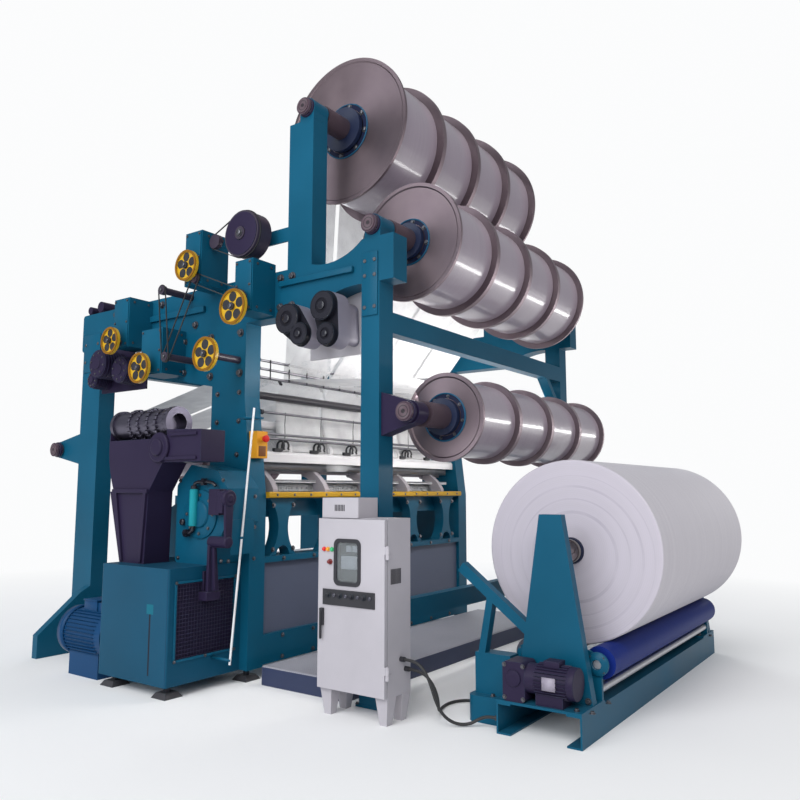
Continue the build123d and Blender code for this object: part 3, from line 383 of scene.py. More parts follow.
def makeEdgeWearAndHighlight():
    # mask that is 1 on outer edges, for chipped paint and a painted edge highlight: how far the bevelled
    # normal leaves the true one, broken by noise
    group = Shared("edgeWear", {"Radius": 0.004, "Amount": 0.6, "Scale": 30.0}, ["Mask"])
    given = group.given
    bevelled = group.add("Bevel", "Normal", {"Radius": given["Radius"]}, samples=4)
    same = group.add("VectorMath", "Value", {0: bevelled, 1: group.normal()}, operation="DOT_PRODUCT")
    strong = (1.0 - same).math("MULTIPLY", 7.0, clamp=True)
    broken = strong * (group.noise(group.place(), given["Scale"], 5) * 1.6)
    chipsAndHighlight = broken.math("SUBTRACT", 0.35, clamp=True)
    return group.give(Mask=chipsAndHighlight.math("MULTIPLY", given["Amount"], clamp=True))


def makeDustFall():
    # dust lies on faces that look up: the upward part of the normal times a cloudy noise
    group = Shared("dustFall", {"Amount": 0.3, "Scale": 4.0}, ["Mask"])
    cloud = group.noise(group.place(), group.given["Scale"], 6)
    lying = group.facing("Z").math("MAXIMUM", 0.12) * cloud
    return group.give(Mask=lying.math("MULTIPLY", group.given["Amount"], clamp=True))


def makeToneDrift():
    # slow change of shade over a large face, with a fine grain on top: outputs a shade and a height
    group = Shared("toneDrift", {"Slow": 1.5, "Fine": 220.0}, ["Shade", "Height"])
    return group.give(Shade=group.noise(group.place(), group.given["Slow"], 4),
                      Height=group.noise(group.place(), group.given["Fine"], 2))


def makeStretchedGrain():
    # noise drawn out along one axis by a vector scale: brushed metal, wound yarn, rolled cloth
    group = Shared("stretchedGrain", {"Stretch": (1.0, 1.0, 1.0)}, ["Grain"])
    place = group.add("VectorMath", 0, {0: group.place(), 1: group.given["Stretch"]}, operation="MULTIPLY")
    return group.give(Grain=group.noise(place, 1.0, 4))


def makeAxisRings():
    # rings about an axis along X: distance from (Centre Y, Centre Z), and a wave of that distance
    group = Shared("axisRings", {"Centre Y": 0.0, "Centre Z": 0.0, "Pitch": 0.004}, ["Distance", "Wave"])
    given = group.given
    y, z = group.along("Y") - given["Centre Y"], group.along("Z") - given["Centre Z"]
    distance = (y * y + z * z).math("SQRT")
    wave = (distance / given["Pitch"]).math("SINE")
    return group.give(Distance=distance, Wave=(wave + 1.0) * 0.5)


edgeWear, dustFall, toneDrift = makeEdgeWearAndHighlight(), makeDustFall(), makeToneDrift()
stretchedGrain, axisRings = makeStretchedGrain(), makeAxisRings()
print("shader groups ready")

# Materials
dustColour = (0.45, 0.44, 0.43)


class Finish(Sheet):
    # a material being drawn, with its Principled BSDF
    def __init__(self, name, roughness=0.5, metallic=0.0, coat=0.0, sheen=0.0, gloss=0.5):
        self.material = bpy.data.materials.new(name)
        self.material.use_nodes = True
        super().__init__(self.material.node_tree)
        self.set(Roughness=roughness, Metallic=metallic, Coat_Weight=coat, Coat_Roughness=0.15,
                 Specular_IOR_Level=gloss, Sheen_Weight=sheen)

    def set(self, **values):
        for key, value in values.items():
            self.feed(self.tree.nodes["Principled BSDF"].inputs[key.replace("_", " ")], value)
        return self.material

    def bump(self, height, strength, distance):
        self.set(Normal=self.add("Bump", 0, {"Strength": strength, "Distance": distance, "Height": height}))

    def stretchRound(self, amount):
        # highlights drawn out round the axis X
        self.set(Tangent=self.add("Tangent", 0, direction_type="RADIAL", axis="X"), Anisotropic=amount)


def shade(colour, factor, lift=0.0):
    return tuple(min(1.0, c * factor + lift) for c in colour)


def paint(name, colour, roughness=0.36, edgeWearAndHighlightAmount=0.4, edgeWearAndHighlightColour=(0.05, 0.15, 0.21), dust=0.035, coat=0.0,
          layers=(), slots=(), bump=0.12):
    # brushed or sprayed enamel: drifting tone, chipped edges that are worn paint and, where the edge colour
    # is lighter than the paint, a painted edge highlight, dust on top, orange-peel grain
    mat = Finish(name, roughness, coat=coat, gloss=0.15)
    tone = mat.group(toneDrift, Slow=1.7, Fine=260.0)
    base = mat.mix(tone["Shade"], shade(colour, 0.72), shade(colour, 1.22, 0.004))
    for axis, low, high, other in layers:
        base = mat.mix(mat.along(axis).between(low, high), base, other)
    for y0, y1, z0, z1, other in slots:  # rectangles on the face that looks along -X
        window = mat.along("Y").between(y0, y1) * mat.along("Z").between(z0, z1)
        base = mat.mix(window * (mat.facing("X") < -0.8), base, other)
    dusty = mat.group(dustFall, Amount=dust, Scale=5.0)["Mask"]
    # outer edges: chipped paint, and a painted edge highlight where the edge colour is lighter than the paint
    wornAndHighlitEdges = mat.group(edgeWear, Radius=0.004, Amount=edgeWearAndHighlightAmount, Scale=34.0)["Mask"]
    mat.bump(tone["Height"], bump, 0.0006)
    rough = (tone["Shade"] * 0.22 + (roughness - 0.1)).math("ADD", dusty * 0.6, clamp=True)
    return mat.set(Base_Color=mat.mix(wornAndHighlitEdges, mat.mix(dusty, base, dustColour), edgeWearAndHighlightColour), Roughness=rough)


def metal(name, colour, roughness=0.32, stretch=(3.0, 260.0, 260.0), layers=()):
    # bright metal with a drawn-out grain; layers repaint a band along an axis
    mat = Finish(name, roughness, 1.0)
    grain = mat.group(stretchedGrain, Stretch=stretch)["Grain"]
    tone = mat.group(toneDrift, Slow=6.0, Fine=300.0)["Shade"]
    base = mat.mix(tone * 0.3, mat.mix(grain, shade(colour, 0.78), colour), shade(colour, 0.6))
    for count, (axis, low, high, other) in enumerate(layers):
        band = mat.along(axis).between(low, high)
        base = mat.mix(band, base, other)
        metallic = metallic * (1.0 - band) if count else 1.0 - band
        mat.set(Metallic=metallic)
    mat.bump(grain, 0.12, 0.0004)
    return mat.set(Base_Color=base, Roughness=(grain * 0.25).math("ADD", roughness - 0.12, clamp=True))


def plastic(name, colour, roughness=0.45, bump=0.1):
    # moulded plastic or rubber: slight shade drift and a fine matt grain
    mat = Finish(name, roughness)
    tone = mat.group(toneDrift, Slow=9.0, Fine=500.0)
    mat.bump(tone["Height"], bump, 0.0003)
    return mat.set(Base_Color=mat.mix(tone["Shade"], shade(colour, 0.75), shade(colour, 1.3, 0.005)),
                   Roughness=(tone["Shade"] * 0.2).math("ADD", roughness - 0.1, clamp=True))


colours = {
    "teal": (0.0008, 0.084, 0.156), "plum": (0.020, 0.0135, 0.042), "yellow": (0.50, 0.28, 0.012),
    "cabinet": (0.47, 0.45, 0.49), "motorBlue": (0.002, 0.046, 0.135), "black": (0.018, 0.018, 0.024),
    "bright": (0.60, 0.60, 0.63),
}
evenGrain = (90.0, 90.0, 90.0)
teal = paint("tealEnamel", colours["teal"])
plum = paint("plumCasting", colours["plum"], 0.42, bump=0.3)
yellow = paint("yellowEnamel", colours["yellow"], edgeWearAndHighlightAmount=0.7, edgeWearAndHighlightColour=(0.2, 0.16, 0.1))
cabinetPaint = paint("cabinetPaint", colours["cabinet"], 0.45, 0.25, dust=0.15, bump=0.2)
bluePaint = paint("motorBlue", colours["motorBlue"], edgeWearAndHighlightAmount=0.5)
shaftEnd = paint("shaftEnd", (0.085, 0.055, 0.075), 0.3, 0.5)
# near-black navy: the roll's end rings, and painted shade in the hollow round each beam's hub
navyPaintAndShade = paint("navyRecess", (0.008, 0.012, 0.040), 0.4, 0.2)
lipBlue = paint("lipBlue", (0.006, 0.075, 0.15), 0.3, 0.3)
lightTeal = paint("lightTeal", (0.010, 0.30, 0.36), 0.3, 0.3)
black = plastic("blackPlastic", colours["black"])
blackGloss = plastic("blackGloss", (0.012, 0.012, 0.02), 0.2)
blackMetal = paint("blackMetal", (0.022, 0.022, 0.03), 0.35, 0.5, dust=0.25)
bright = metal("brightSteel", colours["bright"])
silver = paint("castSilver", (0.60, 0.59, 0.60), edgeWearAndHighlightAmount=0.3, dust=0.1, coat=0.1, bump=0.25)
armCasting = paint("armCasting", (0.36, 0.33, 0.36), 0.34, dust=0.1)
pulleyYellow = paint("pulleyYellow", (0.24, 0.105, 0.006), 0.4, 0.8, (0.10, 0.07, 0.05))
lightAlloy = paint("lightAlloy", (0.66, 0.65, 0.67), 0.30, 0.15, dust=0.05, coat=0.3)
darkSteel = metal("darkSteel", (0.17, 0.17, 0.19), 0.4, evenGrain)
zinc = metal("zincFastener", (0.52, 0.52, 0.54), 0.38, evenGrain)
rubber = plastic("blackRubber", (0.022, 0.022, 0.024), 0.62, 0.2)


def ringsAbout(mat, y, z, pitch):
    return mat.group(axisRings, Centre_Y=bedY + y / 1000, Centre_Z=z / 1000, Pitch=pitch)


# How far from the machine's middle each part of a beam begins, in metres, and the radii on its shaft's end
beamReach = {"hub": 0.9785, "collar": 1.0125, "neck": 1.2185, "end": 1.4055, "groove": 0.031, "hollow": 0.013}


def beamMetal(name, y, z):
    # satin turned flanges with fine rings, a brown shaft and collar, a dark hub disc, and painted shade: the
    # groove ring and centre hole on the shaft's end are painted near-black
    mat = Finish(name, 0.44, 1.0)
    rings = ringsAbout(mat, y, z, 0.0011)
    tone = mat.group(toneDrift, Slow=3.0, Fine=150.0)["Shade"]
    cloudy = mat.group(toneDrift, Slow=7.0, Fine=30.0)["Shade"]
    base = mat.mix(tone, (0.125, 0.090, 0.108), (0.30, 0.24, 0.265))
    base = mat.mix(cloudy * 0.55, base, (0.25, 0.20, 0.215))
    base = mat.mix(ringsAbout(mat, y, z, 0.012)["Wave"] * 0.06, base, (0.16, 0.13, 0.15))
    reach = (mat.along("X") - bedX).math("ABSOLUTE")
    beyond = reach > beamReach["hub"]
    base = mat.mix(beyond, base, (0.012, 0.02, 0.055))
    base = mat.mix(reach > beamReach["collar"], base, (0.062, 0.042, 0.055))
    base = mat.mix(reach > beamReach["neck"], base, (0.095, 0.062, 0.078))
    # the groove ring and the centre hole on the shaft's end face are painted near-black: painted shade inside
    # them
    groove = rings["Distance"].math("COMPARE", beamReach["groove"], 0.0022)
    hollow = groove.math("MAXIMUM", rings["Distance"] < beamReach["hollow"])
    base = mat.mix(hollow * (reach > beamReach["end"]), base, (0.018, 0.012, 0.018))
    mat.bump(rings["Wave"], 0.1, 0.0003)
    mat.stretchRound(0.75)
    return mat.set(Base_Color=base, Metallic=1.0 - beyond, Roughness=tone * 0.2 + 0.36)


def woundYarn():
    # smooth filament packages: threads lie round the beam, so the grain changes along X only
    mat = Finish("woundYarn", 0.34, 0.0, 0.6, 0.1, 0.6)
    fine = mat.group(stretchedGrain, Stretch=(900.0, 5.0, 5.0))["Grain"]
    broad = mat.group(stretchedGrain, Stretch=(38.0, 1.2, 1.2))["Grain"]
    base = mat.mix(fine, (0.25, 0.205, 0.255), (0.41, 0.35, 0.41))
    mat.bump(fine + broad * 1.5, 0.30, 0.0012)
    mat.stretchRound(0.7)
    return mat.set(Coat_Roughness=0.11, Base_Color=mat.mix(broad * 0.6, base, (0.25, 0.20, 0.26)))


def rolledCloth(y, z):
    # wound cloth: faint streaks round the roll, spiral rings on its end faces, a dark core inside
    mat = Finish("rolledCloth", 0.78, 0.0, 0.0, 0.4)
    streak = mat.group(stretchedGrain, Stretch=(30.0, 0.9, 0.9))["Grain"]
    knit = mat.group(stretchedGrain, Stretch=(700.0, 700.0, 700.0))["Grain"]
    rings = ringsAbout(mat, y, z, 0.0016)
    face = mat.facing("X").math("ABSOLUTE") > 0.8
    base = mat.mix(streak, (0.42, 0.39, 0.45), (0.54, 0.51, 0.56))
    base = mat.mix(rings["Wave"] * face * 0.42, base, (0.52, 0.48, 0.57))
    base = mat.mix(ringsAbout(mat, y, z, 0.0105)["Wave"] * face * 0.18, base, (0.56, 0.52, 0.60))
    lifted = ringsAbout(mat, y - 12, z - 30, 0.004)["Distance"]
    seams = [((lifted - reach).math("ABSOLUTE") < width) * depth for reach, width, depth in
             ((0.235, 0.008, 0.5), (0.305, 0.004, 0.35), (0.372, 0.006, 0.4), (0.43, 0.003, 0.3))]
    drift = mat.group(toneDrift, Slow=3.2, Fine=8.0)["Shade"]
    shown = (drift - 0.3).math("MULTIPLY", 2.6, clamp=True)
    seam = seams[0] + seams[1] + seams[2] + seams[3]
    base = mat.mix(seam * face * shown, base, (0.30, 0.27, 0.34))
    mat.bump(streak * 3.0 + knit, 0.35, 0.0012)
    return mat.set(Base_Color=mat.mix(rings["Distance"] < 0.0622, base, (0.05, 0.035, 0.04)))


def clearPane():
    mat = Finish("clearPane", 0.06)
    tone = mat.group(toneDrift, Slow=12.0, Fine=90.0)["Shade"]
    return mat.set(Transmission_Weight=0.9, IOR=1.45,
                   Base_Color=mat.mix(tone, (0.72, 0.80, 0.84), (0.85, 0.90, 0.92)))


def footboardTop():
    # grey tread plate above navy sides; its lozenges are where sin 190(x + y) * sin 190(x - y) is high
    mat = Finish("footboard")
    tone = mat.group(toneDrift, Slow=2.5, Fine=200.0)["Shade"]
    top = mat.facing("Z") > 0.5
    side = mat.mix(tone, (0.012, 0.02, 0.06), (0.03, 0.045, 0.11))
    tread = mat.mix(tone, (0.20, 0.20, 0.24), (0.34, 0.34, 0.38))
    x, y = mat.along("X"), mat.along("Y")
    lozenge = ((x + y) * 190.0).math("SINE") * ((x - y) * 190.0).math("SINE") > 0.35
    tread = mat.mix(lozenge * 0.4, tread, (0.46, 0.46, 0.50))
    # outer edges: worn metal, lighter as a painted edge highlight
    wornAndHighlitEdges = mat.group(edgeWear, Radius=0.006, Amount=0.7, Scale=20.0)["Mask"]
    mat.bump(lozenge * top, 0.4, 0.002)
    return mat.set(Base_Color=mat.mix(wornAndHighlitEdges, mat.mix(top, side, tread), (0.4, 0.4, 0.42)))


def sleevedRoller(name, colour):
    # rubber sleeve with fine turned lines; the journals past the sleeve are bright steel
    mat = Finish(name, gloss=0.15)
    lines = mat.group(stretchedGrain, Stretch=(420.0, 4.0, 4.0))["Grain"]
    x = mat.along("X") - bedX
    journal = (x < -1.0301) + (x > 1.0401)
    mat.bump(lines, 0.15, 0.0005)
    return mat.set(Base_Color=mat.mix(journal, mat.mix(lines, shade(colour, 0.7), shade(colour, 1.35)),
                                      colours["bright"]), Metallic=journal)


beamPlaces = {
    "top_beam": {"y": -1103, "z": 3638, "flange": 508, "yarn": 452, "body": "top_warp_beam"},
    "middle_beam": {"y": -1636, "z": 2747, "flange": 381, "yarn": 338, "body": "middle_warp_beam"},
    "lower_beam": {"y": -1887, "z": 1621, "flange": 267, "yarn": 234, "body": "lower_warp_beam"},
    "rear_beam": {"y": 1577, "z": 1516, "flange": 267, "yarn": 196, "body": "rear_warp_beam"},
}
rollPlace = {"y": -2632, "z": 868}
allWay = 9.0  # further than any piece reaches
yarn = woundYarn()
stopBoxPaint = paint("stopBoxYellow", (0.66, 0.30, 0.02), edgeWearAndHighlightAmount=0.3)
letOffPaint = paint("letOffUnit", (0.24, 0.225, 0.28), layers=[
    ("X", -allWay, bedX - 1.4695, (0.010, 0.010, 0.016)), ("X", bedX - 1.2262, allWay, (0.50, 0.48, 0.52))])
pulleyMetal = metal("pulleySteel", (0.50, 0.50, 0.52), 0.36, evenGrain, [
    ("X", bedX - 1.6525, bedX - 1.6295, (0.60, 0.36, 0.015)),
    ("X", -allWay, bedX - 1.6525, (0.03, 0.03, 0.035)), ("X", bedX - 1.6295, allWay, (0.040, 0.030, 0.050))])
rodMetal = metal("rodSteel", (0.24, 0.235, 0.26), 0.34, layers=[
    ("Y", bedY - 0.535, bedY + 0.2, (0.025, 0.022, 0.03))])
frontPostPaint = paint("frontPost", colours["teal"], layers=[("Y", -allWay, bedY - 1.6905, colours["plum"])])
# a darker copy of the teal for the drive base: painted shade on the low base
baseShadedTeal = paint("driveBase", (0.0006, 0.062, 0.122),
                  layers=[("Y", bedY - 0.5926, bedY - 0.5914, (0.022, 0.018, 0.045))],
                  # the near-black narrow rectangle is painted shade inside a slot; the lighter teal one is a
                  # latch plate
                  slots=[(bedY - 0.447, bedY - 0.434, 0.120, 0.468, (0.010, 0.010, 0.018)),
                         (bedY - 0.470, bedY - 0.408, 0.468, 0.524, (0.002, 0.125, 0.185))])
panelPaint = paint("bedFront", colours["teal"], layers=[("Z", 0.2701, 0.7219, (0.10, 0.115, 0.17))])
drumMetal = metal("drumMetal", (0.16, 0.15, 0.20), 0.42, (90.0, 6.0, 90.0))

# The finish of each CAD node; those not named here are teal
finishes = {
    "levelling_feet": blackMetal, "bed_front_panel": panelPaint, "stop_rail": yellow, "needle_bed": silver,
    "presser_arms": armCasting, "guide_bar_unit": lightAlloy, "needle_cover": lightAlloy,
    "yarn_rods": rodMetal, "take_down_rollers": bright, "drive_end_front_post": frontPostPaint,
    "far_end_front_post": frontPostPaint, "warp_sheets": yarn, "drive_base": baseShadedTeal,
    "pattern_stand": plum, "pattern_drum": drumMetal,
    "main_motor": bluePaint, "let_off_pulleys": pulleyMetal, "drive_belts": rubber, "crossbeam_motors": plum,
    "let_off_motors": letOffPaint, "stop_box": stopBoxPaint, "footboard": footboardTop(),
    "batcher_drive": plum, "front_roller": sleevedRoller("blueSleeve", (0.004, 0.018, 0.16)),
    "back_roller": sleevedRoller("greySleeve", (0.09, 0.09, 0.11)),
    "fabric_roll": rolledCloth(rollPlace["y"], rollPlace["z"]),
    "cabinet_body": cabinetPaint, "cabinet_door": cabinetPaint, "cabinet_door_trim": black,
    "cabinet_window_glass": clearPane(), "cabinet_top_unit": cabinetPaint, "cable_glands": black,
    "cabinet_cable_a": rubber, "cabinet_cable_b": rubber,
}
for name, values in beamPlaces.items():
    finishes[name] = beamMetal(name + "Metal", values["y"], values["z"])
    finishes[name + "_yarn"] = yarn
for name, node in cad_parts.items():
    node.data.materials.clear()
    node.data.materials.append(finishes.get(name, teal))
print("materials on", len(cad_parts), "nodes")

# Cables: the route's points from the part, as the control points of one smooth line
cables = {
    "cabinet_cable_a": {"length": 0.666, "route": [
        (-1462, -1937, 318), (-1462, -1992, 318), (-1461, -2044, 294), (-1458, -2078, 246),
        (-1452, -2098, 190), (-1441, -2112, 132), (-1421, -2130, 78), (-1391, -2158, 36),
        (-1353, -2194, 13), (-1317, -2238, 14), (-1297, -2282, 42), (-1290, -2325, 60),
        (-1290, -2370, 60)]},
    "cabinet_cable_b": {"length": 1.162, "route": [
        (-1420, -1937, 262), (-1420, -1994, 262), (-1416, -2048, 238), (-1404, -2080, 190),
        (-1380, -2084, 138), (-1342, -2066, 90), (-1290, -2034, 48), (-1222, -1996, 18),
        (-1144, -1962, 10), (-1060, -1944, 9), (-980, -1958, 10), (-926, -2008, 9), (-910, -2076, 10),
        (-926, -2144, 9), (-962, -2208, 16), (-996, -2262, 40), (-1012, -2316, 60), (-1012, -2370, 60)]},
}
cableWidth = 0.016


def layCable(nodeName, values):
    curve = bpy.data.curves.new(nodeName + "_lead", "CURVE")
    curve.dimensions = "3D"
    curve.bevel_depth, curve.bevel_resolution, curve.resolution_u = cableWidth / 2, 3, 10
    curve.use_fill_caps = True
    points = toFrame(values["route"])
    spline = curve.splines.new("NURBS")
    spline.points.add(len(points) - 1)
    spline.points.foreach_set("co", np.c_[points, np.ones(len(points))].ravel())
    spline.order_u = 3
    spline.use_endpoint_u = True
    curve.materials.append(rubber)
    lead = bpy.data.objects.new(nodeName + "_lead", curve)
    scene.collection.objects.link(lead)
    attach(lead, "machine")
    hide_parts(nodeName)


for nodeName, values in cables.items():
    layCable(nodeName, values)
print("cables laid")

# Warp threads in place of the flat sheets: each run is a straight line between its two ends
warpThreads = {
    "sections": 4, "pitch": 489, "half": 978, "inset": 22, "perSection": 132, "radius": 1.0,
    "rodY": -560, "rodRadius": 9, "rods": (2068, 2010, 1952), "foot": 1461, "bars": (-551.5, -521.5, -491.5),
    "shaft": (-500, 1838, 28), "rearRod": (-30, 2040, 20), "rearFoot": -411,
}


def touchPoint(beam, end, side):
    # where a line from the end touches the beam's yarn, on the side given by +1 or -1
    away = np.subtract((beam["y"], beam["z"]), end)
    reach, radius = np.hypot(*away), beam["yarn"] + 1.2
    heading = np.arctan2(away[1], away[0]) + side * np.arcsin(radius / reach)
    return np.add(end, np.sqrt(reach ** 2 - radius ** 2) * np.array([np.cos(heading), np.sin(heading)]))


def threadRuns(values):
    # each sheet goes over its rod, down behind the rods and the shaft, and on to its guide bar
    rodY, clear, foot = values["rodY"], values["rodRadius"] + 2, values["foot"]
    shaftY, shaftZ, shaftRadius = values["shaft"]
    runs = []
    for beam, rod, bar in zip(("top_beam", "middle_beam", "lower_beam"), values["rods"], values["bars"]):
        crown = (rodY - 2, rod + clear)
        runs.append([touchPoint(beamPlaces[beam], crown, -1), crown, (rodY + clear, rod + 2),
                     (rodY + clear, values["rods"][-1] - 8), (shaftY + shaftRadius + 2, shaftZ), (bar, foot)])
    rodY, rodZ, radius = values["rearRod"]
    crown = (rodY + 6, rodZ + radius + 1)
    runs.append([touchPoint(beamPlaces["rear_beam"], crown, 1), crown, (rodY - radius - 1, rodZ + 4),
                 (values["rearFoot"], foot)])
    return runs


def threadMesh(values):
    # a thread is a three-sided tube that follows its run of points at a fixed X
    starts = -values["half"] + np.arange(values["sections"]) * values["pitch"]
    lane = np.linspace(values["inset"], values["pitch"] - values["inset"], values["perSection"])
    offsets = grid((starts[:, None] + lane).ravel(), 0, 0)
    a, radius, parts = np.array([0.5, 2.594, 4.689]), values["radius"], []
    for run in threadRuns(values):
        run = np.asarray(run, float)
        tangent = np.gradient(run, axis=0)
        tangent /= np.linalg.norm(tangent, axis=1)[:, None]
        side = np.stack([-tangent[:, 1], tangent[:, 0]], -1)
        ring = np.zeros((len(run), 3, 3))
        ring[:, :, 0] = radius * np.cos(a)
        ring[:, :, 1:] = run[:, None] + radius * np.sin(a)[:, None] * side[:, None]
        quads = np.roll(netQuads(len(run), 3)[:, ::-1], 1, axis=1)
        last = len(run) * 3 - 1
        ends = np.array([[0, 1, 2], [last, last - 1, last - 2]])
        parts.append(repeated((ring.reshape(-1, 3), [quads, ends]), offsets))
    verts, faces = joined(parts)
    return toFrame(verts), faces


threadWhite = plastic("threadWhite", (0.80, 0.79, 0.82), 0.4)
threads = addPiece("warpThreads", *threadMesh(warpThreads), threadWhite, "machine", "warp_yarn", smooth=True)
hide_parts("warp_sheets")
print("warp threads", len(threads.data.polygons))

# Details that the part leaves out, gathered by finish and body and made as one mesh each
near, far, front, back, up = (-1, 0, 0), (1, 0, 0), (0, -1, 0), (0, 1, 0), (0, 0, 1)
endFace = 1361.0  # the outer faces of the end frames and posts
kits = {}


def put(kit, *parts):
    kits.setdefault(kit, []).extend(parts)


def makeKit(kit, material, slotName, *parts, body="machine", smooth=True, bevel=0.0):
    # one piece from the parts put under its name and those given here
    verts, faces = joined(kits.get(kit, []) + list(parts))
    addPiece(kit, toFrame(verts), faces, material, body, slotName, smooth, bevel)


def boltRing(x, y, z, reach, count, start=0.0):
    # places spaced evenly round a circle that looks along X
    a = np.arange(count) * 2 * np.pi / count + start
    return np.c_[np.full(count, x), y + reach * np.cos(a), z + reach * np.sin(a)]


# Bolts of the frames, rails, posts and bearings
frameBolts = {
    "bed": [(-610, 130), (370, 130), (370, 850), (200, 850), (200, 130), (-610, 830), (-610, 1090),
            (-420, 1090)],
    "large": [(-540, 1960), (30, 2010), (-540, 2230), (30, 2230), (-250, 2230), (-250, 1960),
              (-900, 2350), (-900, 2540), (-1000, 2350), (-1000, 2540), (300, 2350), (300, 2540),
              (-480, 2340), (-80, 2340), (420, 2340), (860, 2540)],
    "small": [(-330, 1420), (-530, 1420), (-330, 1640), (-540, 1640), (-330, 1830), (-540, 1830),
              (1080, 2200), (1240, 2200), (1080, 2340), (1240, 2340), (1075, 60), (1245, 60), (1075, 150),
              (1245, 150), (-1660, 2250), (-1588, 2250), (-1660, 2440), (-1588, 2440), (-1660, 2530),
              (-1588, 2530)],
    "sizes": ((34, 22), (22, 14)),
}
for side in (-1, 1):
    bed = frameBolts["bed"][1:5] if side < 0 else frameBolts["bed"]
    for places, (size, height) in zip((bed + frameBolts["large"], frameBolts["small"]), frameBolts["sizes"]):
        put("frameBolts", hexHeads([(side * endFace, y, z) for y, z in places], (side, 0, 0), size, height))
makeKit("frameBolts", darkSteel, "teal_paint",
        hexHeads(grid(np.arange(-1050, 1100, 300), -670, (110, 245, 741)), front, 18, 12),
        hexHeads(grid(np.arange(-1040, 1100, 520) - 95, -650, (800, 1090)), front, 20, 13),
        hexHeads(grid(np.arange(-1040, 1100, 520) + 95, -650, (800, 1090)), front, 20, 13),
        hexHeads(grid(np.arange(-1150, 1200, 164), -700, 1158), front, 12, 7))

# Cover strips on the seams where posts meet the crossbeam
splicePlates = {"thick": 9, "places": ((1052, 1268, 2120, 2420), (-1680, -1568, 2200, 2580))}
for side in (-1, 1):
    x0, x1 = sorted((side * endFace, side * (endFace + splicePlates["thick"])))
    for y0, y1, z0, z1 in splicePlates["places"]:
        put("splicePlates", boxes((x0, y0, z0), (x1, y1, z1)))
makeKit("splicePlates", teal, "teal_paint", smooth=False, bevel=0.002)

# Warp beams: a near-black navy ring round the hub, painted shade inside the hub's hollow, with its blue lip,
# and the hub bolts
beamTrim = {"web": 970.0, "recess": 3, "lip": 7, "lipWidth": 9, "hubBolts": 8, "boltSize": 22}
for name, values in beamPlaces.items():
    y, z, flange = values["y"], values["z"], values["flange"]
    inner = max(0.3 * flange, 110) + 3
    outer = max(0.38 * flange, inner + 34)
    recess, lip, lipIn = beamTrim["recess"], beamTrim["lip"], outer - beamTrim["lipWidth"]
    for side in (-1, 1):
        web, out = (side * beamTrim["web"], y, z), (side, 0, 0)
        put(name + "Recess",
            ringTurned([(-1, inner), (recess, inner), (recess, lipIn), (-1, lipIn)], web, out, 72))
        put(name + "Lips", ringTurned([(-1, lipIn), (lip - 2, lipIn), (lip, lipIn + 3), (lip - 3, outer),
                                       (-1, outer)], web, out, 72))
        places = boltRing(side * (beamTrim["web"] + recess), y, z, (inner + lipIn) / 2,
                          beamTrim["hubBolts"], 0.2)
        put(name + "Bolts", hexHeads(places, out, beamTrim["boltSize"] * flange / 450, 11))
    for part, material in (("Recess", navyPaintAndShade), ("Lips", lipBlue), ("Bolts", darkSteel)):
        makeKit(name + part, material, "beam_aluminium", body=values["body"])
print("bolts and beam trim")

# Knitting head: needle comb, trick blocks, guide fingers and yarn hooks across the bed
combs = {"half": 1196, "needlePitch": 9, "needleY": (-560, -478), "needleThick": 2.4, "blockPitch": 52,
         "bars": 5, "barPitch": 30, "fingerPitch": 12, "fingerDrop": 78}
xs = np.arange(-combs["half"], combs["half"], combs["needlePitch"])
(n0, n1), thick = combs["needleY"], combs["needleThick"]
makeKit("needles", bright, "silver_casting", boxes(grid(xs, n0, 1238.2), grid(xs + thick, n1, 1250)),
        boxes(grid(xs, n0, 1250), grid(xs + thick, n0 + 5, 1263)), smooth=False)
xs = np.arange(-1192, 1180, combs["blockPitch"]) + 24
makeKit("trickBlocks", silver, "silver_casting", blocks(grid(xs, -443, 1247.8), (48, 62, 20)),
        blocks(grid(xs, -490.5, 1204), (48, 11.5, 44)), smooth=False, bevel=0.0015)
makeKit("trickScrews", zinc, "silver_casting", hexHeads(grid(xs, -496.2, 1204), front, 11, 6),
        hexHeads(grid(xs, -443, 1257.7), up, 11, 6))
xs, drop = np.arange(-combs["half"] + 6, combs["half"] - 6, combs["fingerPitch"]), combs["fingerDrop"]
for bar in range(combs["bars"]):
    y = -551.5 + combs["barPitch"] * bar
    low = grid(xs, y - 1.2, 1400 - drop)
    put("guideFingers", boxes(low, low + (3.0, 2.4, drop + 0.4)))
    put("guideBlocks", blocks(grid(np.arange(-1180, 1170, 50) + 22, y, 1394), (46, 14, 26)))
makeKit("guideFingers", bright, "steel_rod", smooth=False)
makeKit("guideBlocks", silver, "silver_casting", smooth=False, bevel=0.001)


def hookShape():
    # flat swan-neck hook in the plane square to X, drawn as a thick line of points
    a = np.linspace(0.2, np.pi + 0.5, 9)
    arch = np.c_[-592 + 32 * np.cos(a), 1492 + 32 * np.sin(a)]
    line = np.concatenate([[(-558, 1456), (-560, 1474)], arch, [(-626, 1464)]])
    return tubeAlong(np.c_[np.zeros(len(line)), line], 7.5, 8)


hooks = {"places": np.arange(-1020, 1101, 375), "gap": 46}
makeKit("yarnHooks", black, "dark_trim", repeated(hookShape(), grid(hooks["places"], 0, 0)),
        blocks(grid(hooks["places"], -560, 1464), (70, 24, 24)),
        repeated(hookShape(), grid(hooks["places"] + hooks["gap"], 0, 0)))

# Wires that rise from the hooks to the rods, and flats between the three upper rods
wires = {"places": hooks["places"] + 23, "flats": np.arange(-1112, 1113, 185.3), "radius": 2.6}
wire = tubeAlong([(0, -594, 1462), (6, -604, 1560), (-4, -609, 1640), (4, -607, 1722)], wires["radius"], 8)
makeKit("dropWires", blackMetal, "dark_trim", repeated(wire, grid(wires["places"], 0, 0)),
        blocks(grid(wires["flats"], -571.6, 2010), (7, 5.4, 136)), smooth=False)

